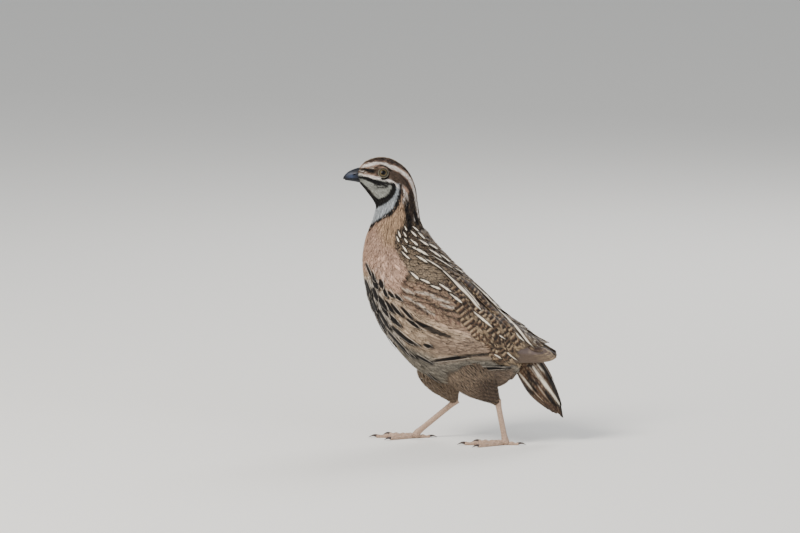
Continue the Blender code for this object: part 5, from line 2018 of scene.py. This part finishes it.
def make_eyeball(name, stand, radius):
    """A ball with the cornea's bulge in front."""
    bulge, bulge_width = 0.22, 1.7  # in mm
    bm = bmesh.new()
    bmesh.ops.create_uvsphere(bm, u_segments=64, v_segments=96, radius=radius)
    co = np.array([v.co for v in bm.verts]) / MM
    r = np.where(co[:, 2] > 0, np.hypot(co[:, 0], co[:, 1]), 9.0)
    for vert, out in zip(bm.verts, r):
        vert.co.z += bulge * MM * bell(out, bulge_width)
    bmesh.ops.transform(bm, matrix=stand, verts=bm.verts)
    mesh = from_bmesh(bm, "eyeball_" + name)
    add_colours(mesh, eye_colours(co, r))
    finish(mesh, "eyeball_" + name, eye_material(), ("eye_" + name,))


def make_lids(name, stand, radius):
    """The ring of bare pebbled lids round an eye."""
    ball = radius / MM

    def place(along_it, round_it):
        out, lift = along(np.array(LID_ROUND), along_it * (len(LID_ROUND) - 1)).T
        a = round_it * 2 * np.pi
        pebble = 0.03 * np.cos(a * 16 + out * 9)
        lift = lift + np.sqrt(ball**2 - out**2) + pebble
        x = (out * 1.04 + pebble) * np.cos(a)
        y = (out + pebble) * np.sin(a) * 0.97
        return np.stack((x, y, lift), -1)

    mesh = sheet("lids_" + name, place, 33, 64)
    co = positions(mesh)
    out = np.hypot(co[:, 0], co[:, 1])
    edges = ramp(2.26, 2.16, out) + ramp(2.48, 2.58, out)
    add_colours(mesh, mix(np.broadcast_to(hex_colour(LID_SKIN), co.shape), hex_colour(LID_EDGE), edges))
    mesh.transform(stand)
    finish(mesh, "lids_" + name, lid_material())


def make_eyes():
    """Eyeballs with pupil and iris, and the ring of lids round each."""
    for name, side in SIDES:
        stand, radius = eye_stand(name, side)
        make_eyeball(name, stand, radius)
        make_lids(name, stand, radius)


# Lights: name, place, diameter in metres, watts, colour. The first is the warm main light from the
# upper left in front, the second fills the shadows, and the third parts the back from the ground.
LIGHTS = (
    ("key", (-0.75, -0.6, 1.0), 0.5, 20.0, "#fffaf3"),
    ("fill", (0.7, -0.9, 0.4), 0.9, 5.0, "#eef3ff"),
    ("rim", (0.35, 0.8, 0.8), 0.6, 6.0, "#ffffff"),
)
FLOOR_PAPER = "#efede8"
ROOM_LIGHT = ("#e2e5e8", 0.7)
CAMERA_DISTANCE = 3.0
SENSOR = 36.0


def area_light(name, place, size, watts, tint):
    """A round light that points at the bird."""
    light = bpy.data.lights.new(name, "AREA")
    light.shape = "DISK"
    light.size = size
    light.energy = watts
    light.color = tuple(hex_colour(tint))
    obj = link(bpy.data.objects.new(name, light))
    aim = Vector((SHIFT * MM, 0, 0.07))
    obj.location = place
    obj.rotation_euler = (aim - Vector(place)).to_track_quat("-Z", "Y").to_euler()
    obj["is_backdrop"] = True


def make_floor():
    """A wide floor of matt pale paper."""
    bm = bmesh.new()
    bmesh.ops.create_grid(bm, x_segments=2, y_segments=2, size=6.0)
    mesh = bpy.data.meshes.new("floor")
    bm.to_mesh(mesh)
    bm.free()
    made, _, shader = new_material("matt pale paper")
    shader.inputs["Base Color"].default_value = (*hex_colour(FLOOR_PAPER), 1)
    shader.inputs["Roughness"].default_value = 0.9
    mesh.materials.append(made)
    floor = link(bpy.data.objects.new("floor", mesh))
    floor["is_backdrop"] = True


def make_camera():
    """The camera at the photograph's angle and framing."""
    camera = bpy.data.cameras.new("camera")
    camera.sensor_width = SENSOR
    camera.lens = SENSOR * CAMERA_DISTANCE / (FRAME_WIDTH * PLAN_UNIT * MM)
    camera.clip_start = 0.05
    camera.clip_end = 50.0
    obj = link(bpy.data.objects.new("camera", camera))
    across = (FRAME_MIDDLE[0] - PLAN_ORIGIN[0]) * PLAN_UNIT * MM + SHIFT * MM
    high = (PLAN_ORIGIN[1] - FRAME_MIDDLE[1]) * PLAN_UNIT * MM / math.cos(PLAN_TILT)
    way = Vector((0, math.cos(PLAN_TILT), -math.sin(PLAN_TILT)))
    obj.location = Vector((across, 0, high)) - way * CAMERA_DISTANCE
    obj.rotation_euler = way.to_track_quat("-Z", "Y").to_euler()
    bpy.context.scene.camera = obj


def make_stage():
    """A pale floor, soft light from above and both sides, and the camera."""
    make_floor()
    for light in LIGHTS:
        area_light(*light)
    world = bpy.data.worlds.new("studio")
    world.use_nodes = True
    background = world.node_tree.nodes["Background"]
    background.inputs["Color"].default_value = (*hex_colour(ROOM_LIGHT[0]), 1)
    background.inputs["Strength"].default_value = ROOM_LIGHT[1]
    bpy.context.scene.world = world
    make_camera()


class QUAIL_OT_skin(bpy.types.Operator):
    """Builds the skin under the plumage"""

    bl_idname = "quail.skin"
    bl_label = "Skin"

    def execute(self, context):
        make_skin()
        return {"FINISHED"}


class QUAIL_OT_head_coat(bpy.types.Operator):
    """Builds the feathers of the head and the neck"""

    bl_idname = "quail.head_coat"
    bl_label = "Head feathers"

    def execute(self, context):
        make_head_coat()
        make_bill_bristles()
        return {"FINISHED"}


class QUAIL_OT_body_coat(bpy.types.Operator):
    """Builds the feathers of breast, flanks and belly"""

    bl_idname = "quail.body_coat"
    bl_label = "Body feathers"

    def execute(self, context):
        make_body_coat()
        make_streaked_flanks()
        make_plumes()
        return {"FINISHED"}


class QUAIL_OT_thigh_coat(bpy.types.Operator):
    """Builds the feathers of the thighs"""

    bl_idname = "quail.thigh_coat"
    bl_label = "Thigh feathers"

    def execute(self, context):
        make_thigh_coat()
        return {"FINISHED"}


class QUAIL_OT_wings(bpy.types.Operator):
    """Builds both folded wings, the back and the rump"""

    bl_idname = "quail.wings"
    bl_label = "Wings and back"

    def execute(self, context):
        for name, side in SIDES:
            wing_bed(name, side)
            make_long_feathers(name, side)
            make_back(name, side)
        make_rump()
        return {"FINISHED"}


class QUAIL_OT_tail(bpy.types.Operator):
    """Builds the tail and its coverts"""

    bl_idname = "quail.tail"
    bl_label = "Tail"

    def execute(self, context):
        make_tail()
        return {"FINISHED"}


class QUAIL_OT_legs(bpy.types.Operator):
    """Builds shanks, toes and claws"""

    bl_idname = "quail.legs"
    bl_label = "Legs"

    def execute(self, context):
        make_legs()
        return {"FINISHED"}


class QUAIL_OT_bill(bpy.types.Operator):
    """Builds the bill and its nostrils"""

    bl_idname = "quail.bill"
    bl_label = "Bill"

    def execute(self, context):
        make_bill()
        return {"FINISHED"}


class QUAIL_OT_eyes(bpy.types.Operator):
    """Builds the eyes and their lids"""

    bl_idname = "quail.eyes"
    bl_label = "Eyes"

    def execute(self, context):
        make_eyes()
        return {"FINISHED"}


class QUAIL_OT_stage(bpy.types.Operator):
    """Builds floor, lights and camera"""

    bl_idname = "quail.stage"
    bl_label = "Stage"

    def execute(self, context):
        make_stage()
        return {"FINISHED"}


OPERATORS = (
    QUAIL_OT_skin,
    QUAIL_OT_head_coat,
    QUAIL_OT_body_coat,
    QUAIL_OT_thigh_coat,
    QUAIL_OT_wings,
    QUAIL_OT_tail,
    QUAIL_OT_legs,
    QUAIL_OT_bill,
    QUAIL_OT_eyes,
    QUAIL_OT_stage,
)


class QUAIL_PT_panel(bpy.types.Panel):
    """Lists the pieces of the quail"""

    bl_label = "Quail"
    bl_space_type = "VIEW_3D"
    bl_region_type = "UI"
    bl_category = "Quail"

    def draw(self, context):
        for made in OPERATORS:
            self.layout.operator(made.bl_idname)
        for name in QuailSettings.__annotations__:
            self.layout.prop(context.scene.quail, name)


CLASSES = (QuailSettings, *OPERATORS, QUAIL_PT_panel)


def register():
    for made in CLASSES:
        bpy.utils.register_class(made)
    bpy.types.Scene.quail = bpy.props.PointerProperty(type=QuailSettings)


def unregister():
    del bpy.types.Scene.quail
    for made in reversed(CLASSES):
        bpy.utils.unregister_class(made)


def corners():
    """The model's box as plain lists."""
    return [list(c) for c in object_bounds()]


def main():
    register()
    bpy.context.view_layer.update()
    for made in OPERATORS:
        getattr(bpy.ops.quail, made.bl_idname.split(".")[1])()


if __name__ == "__main__":
    main()
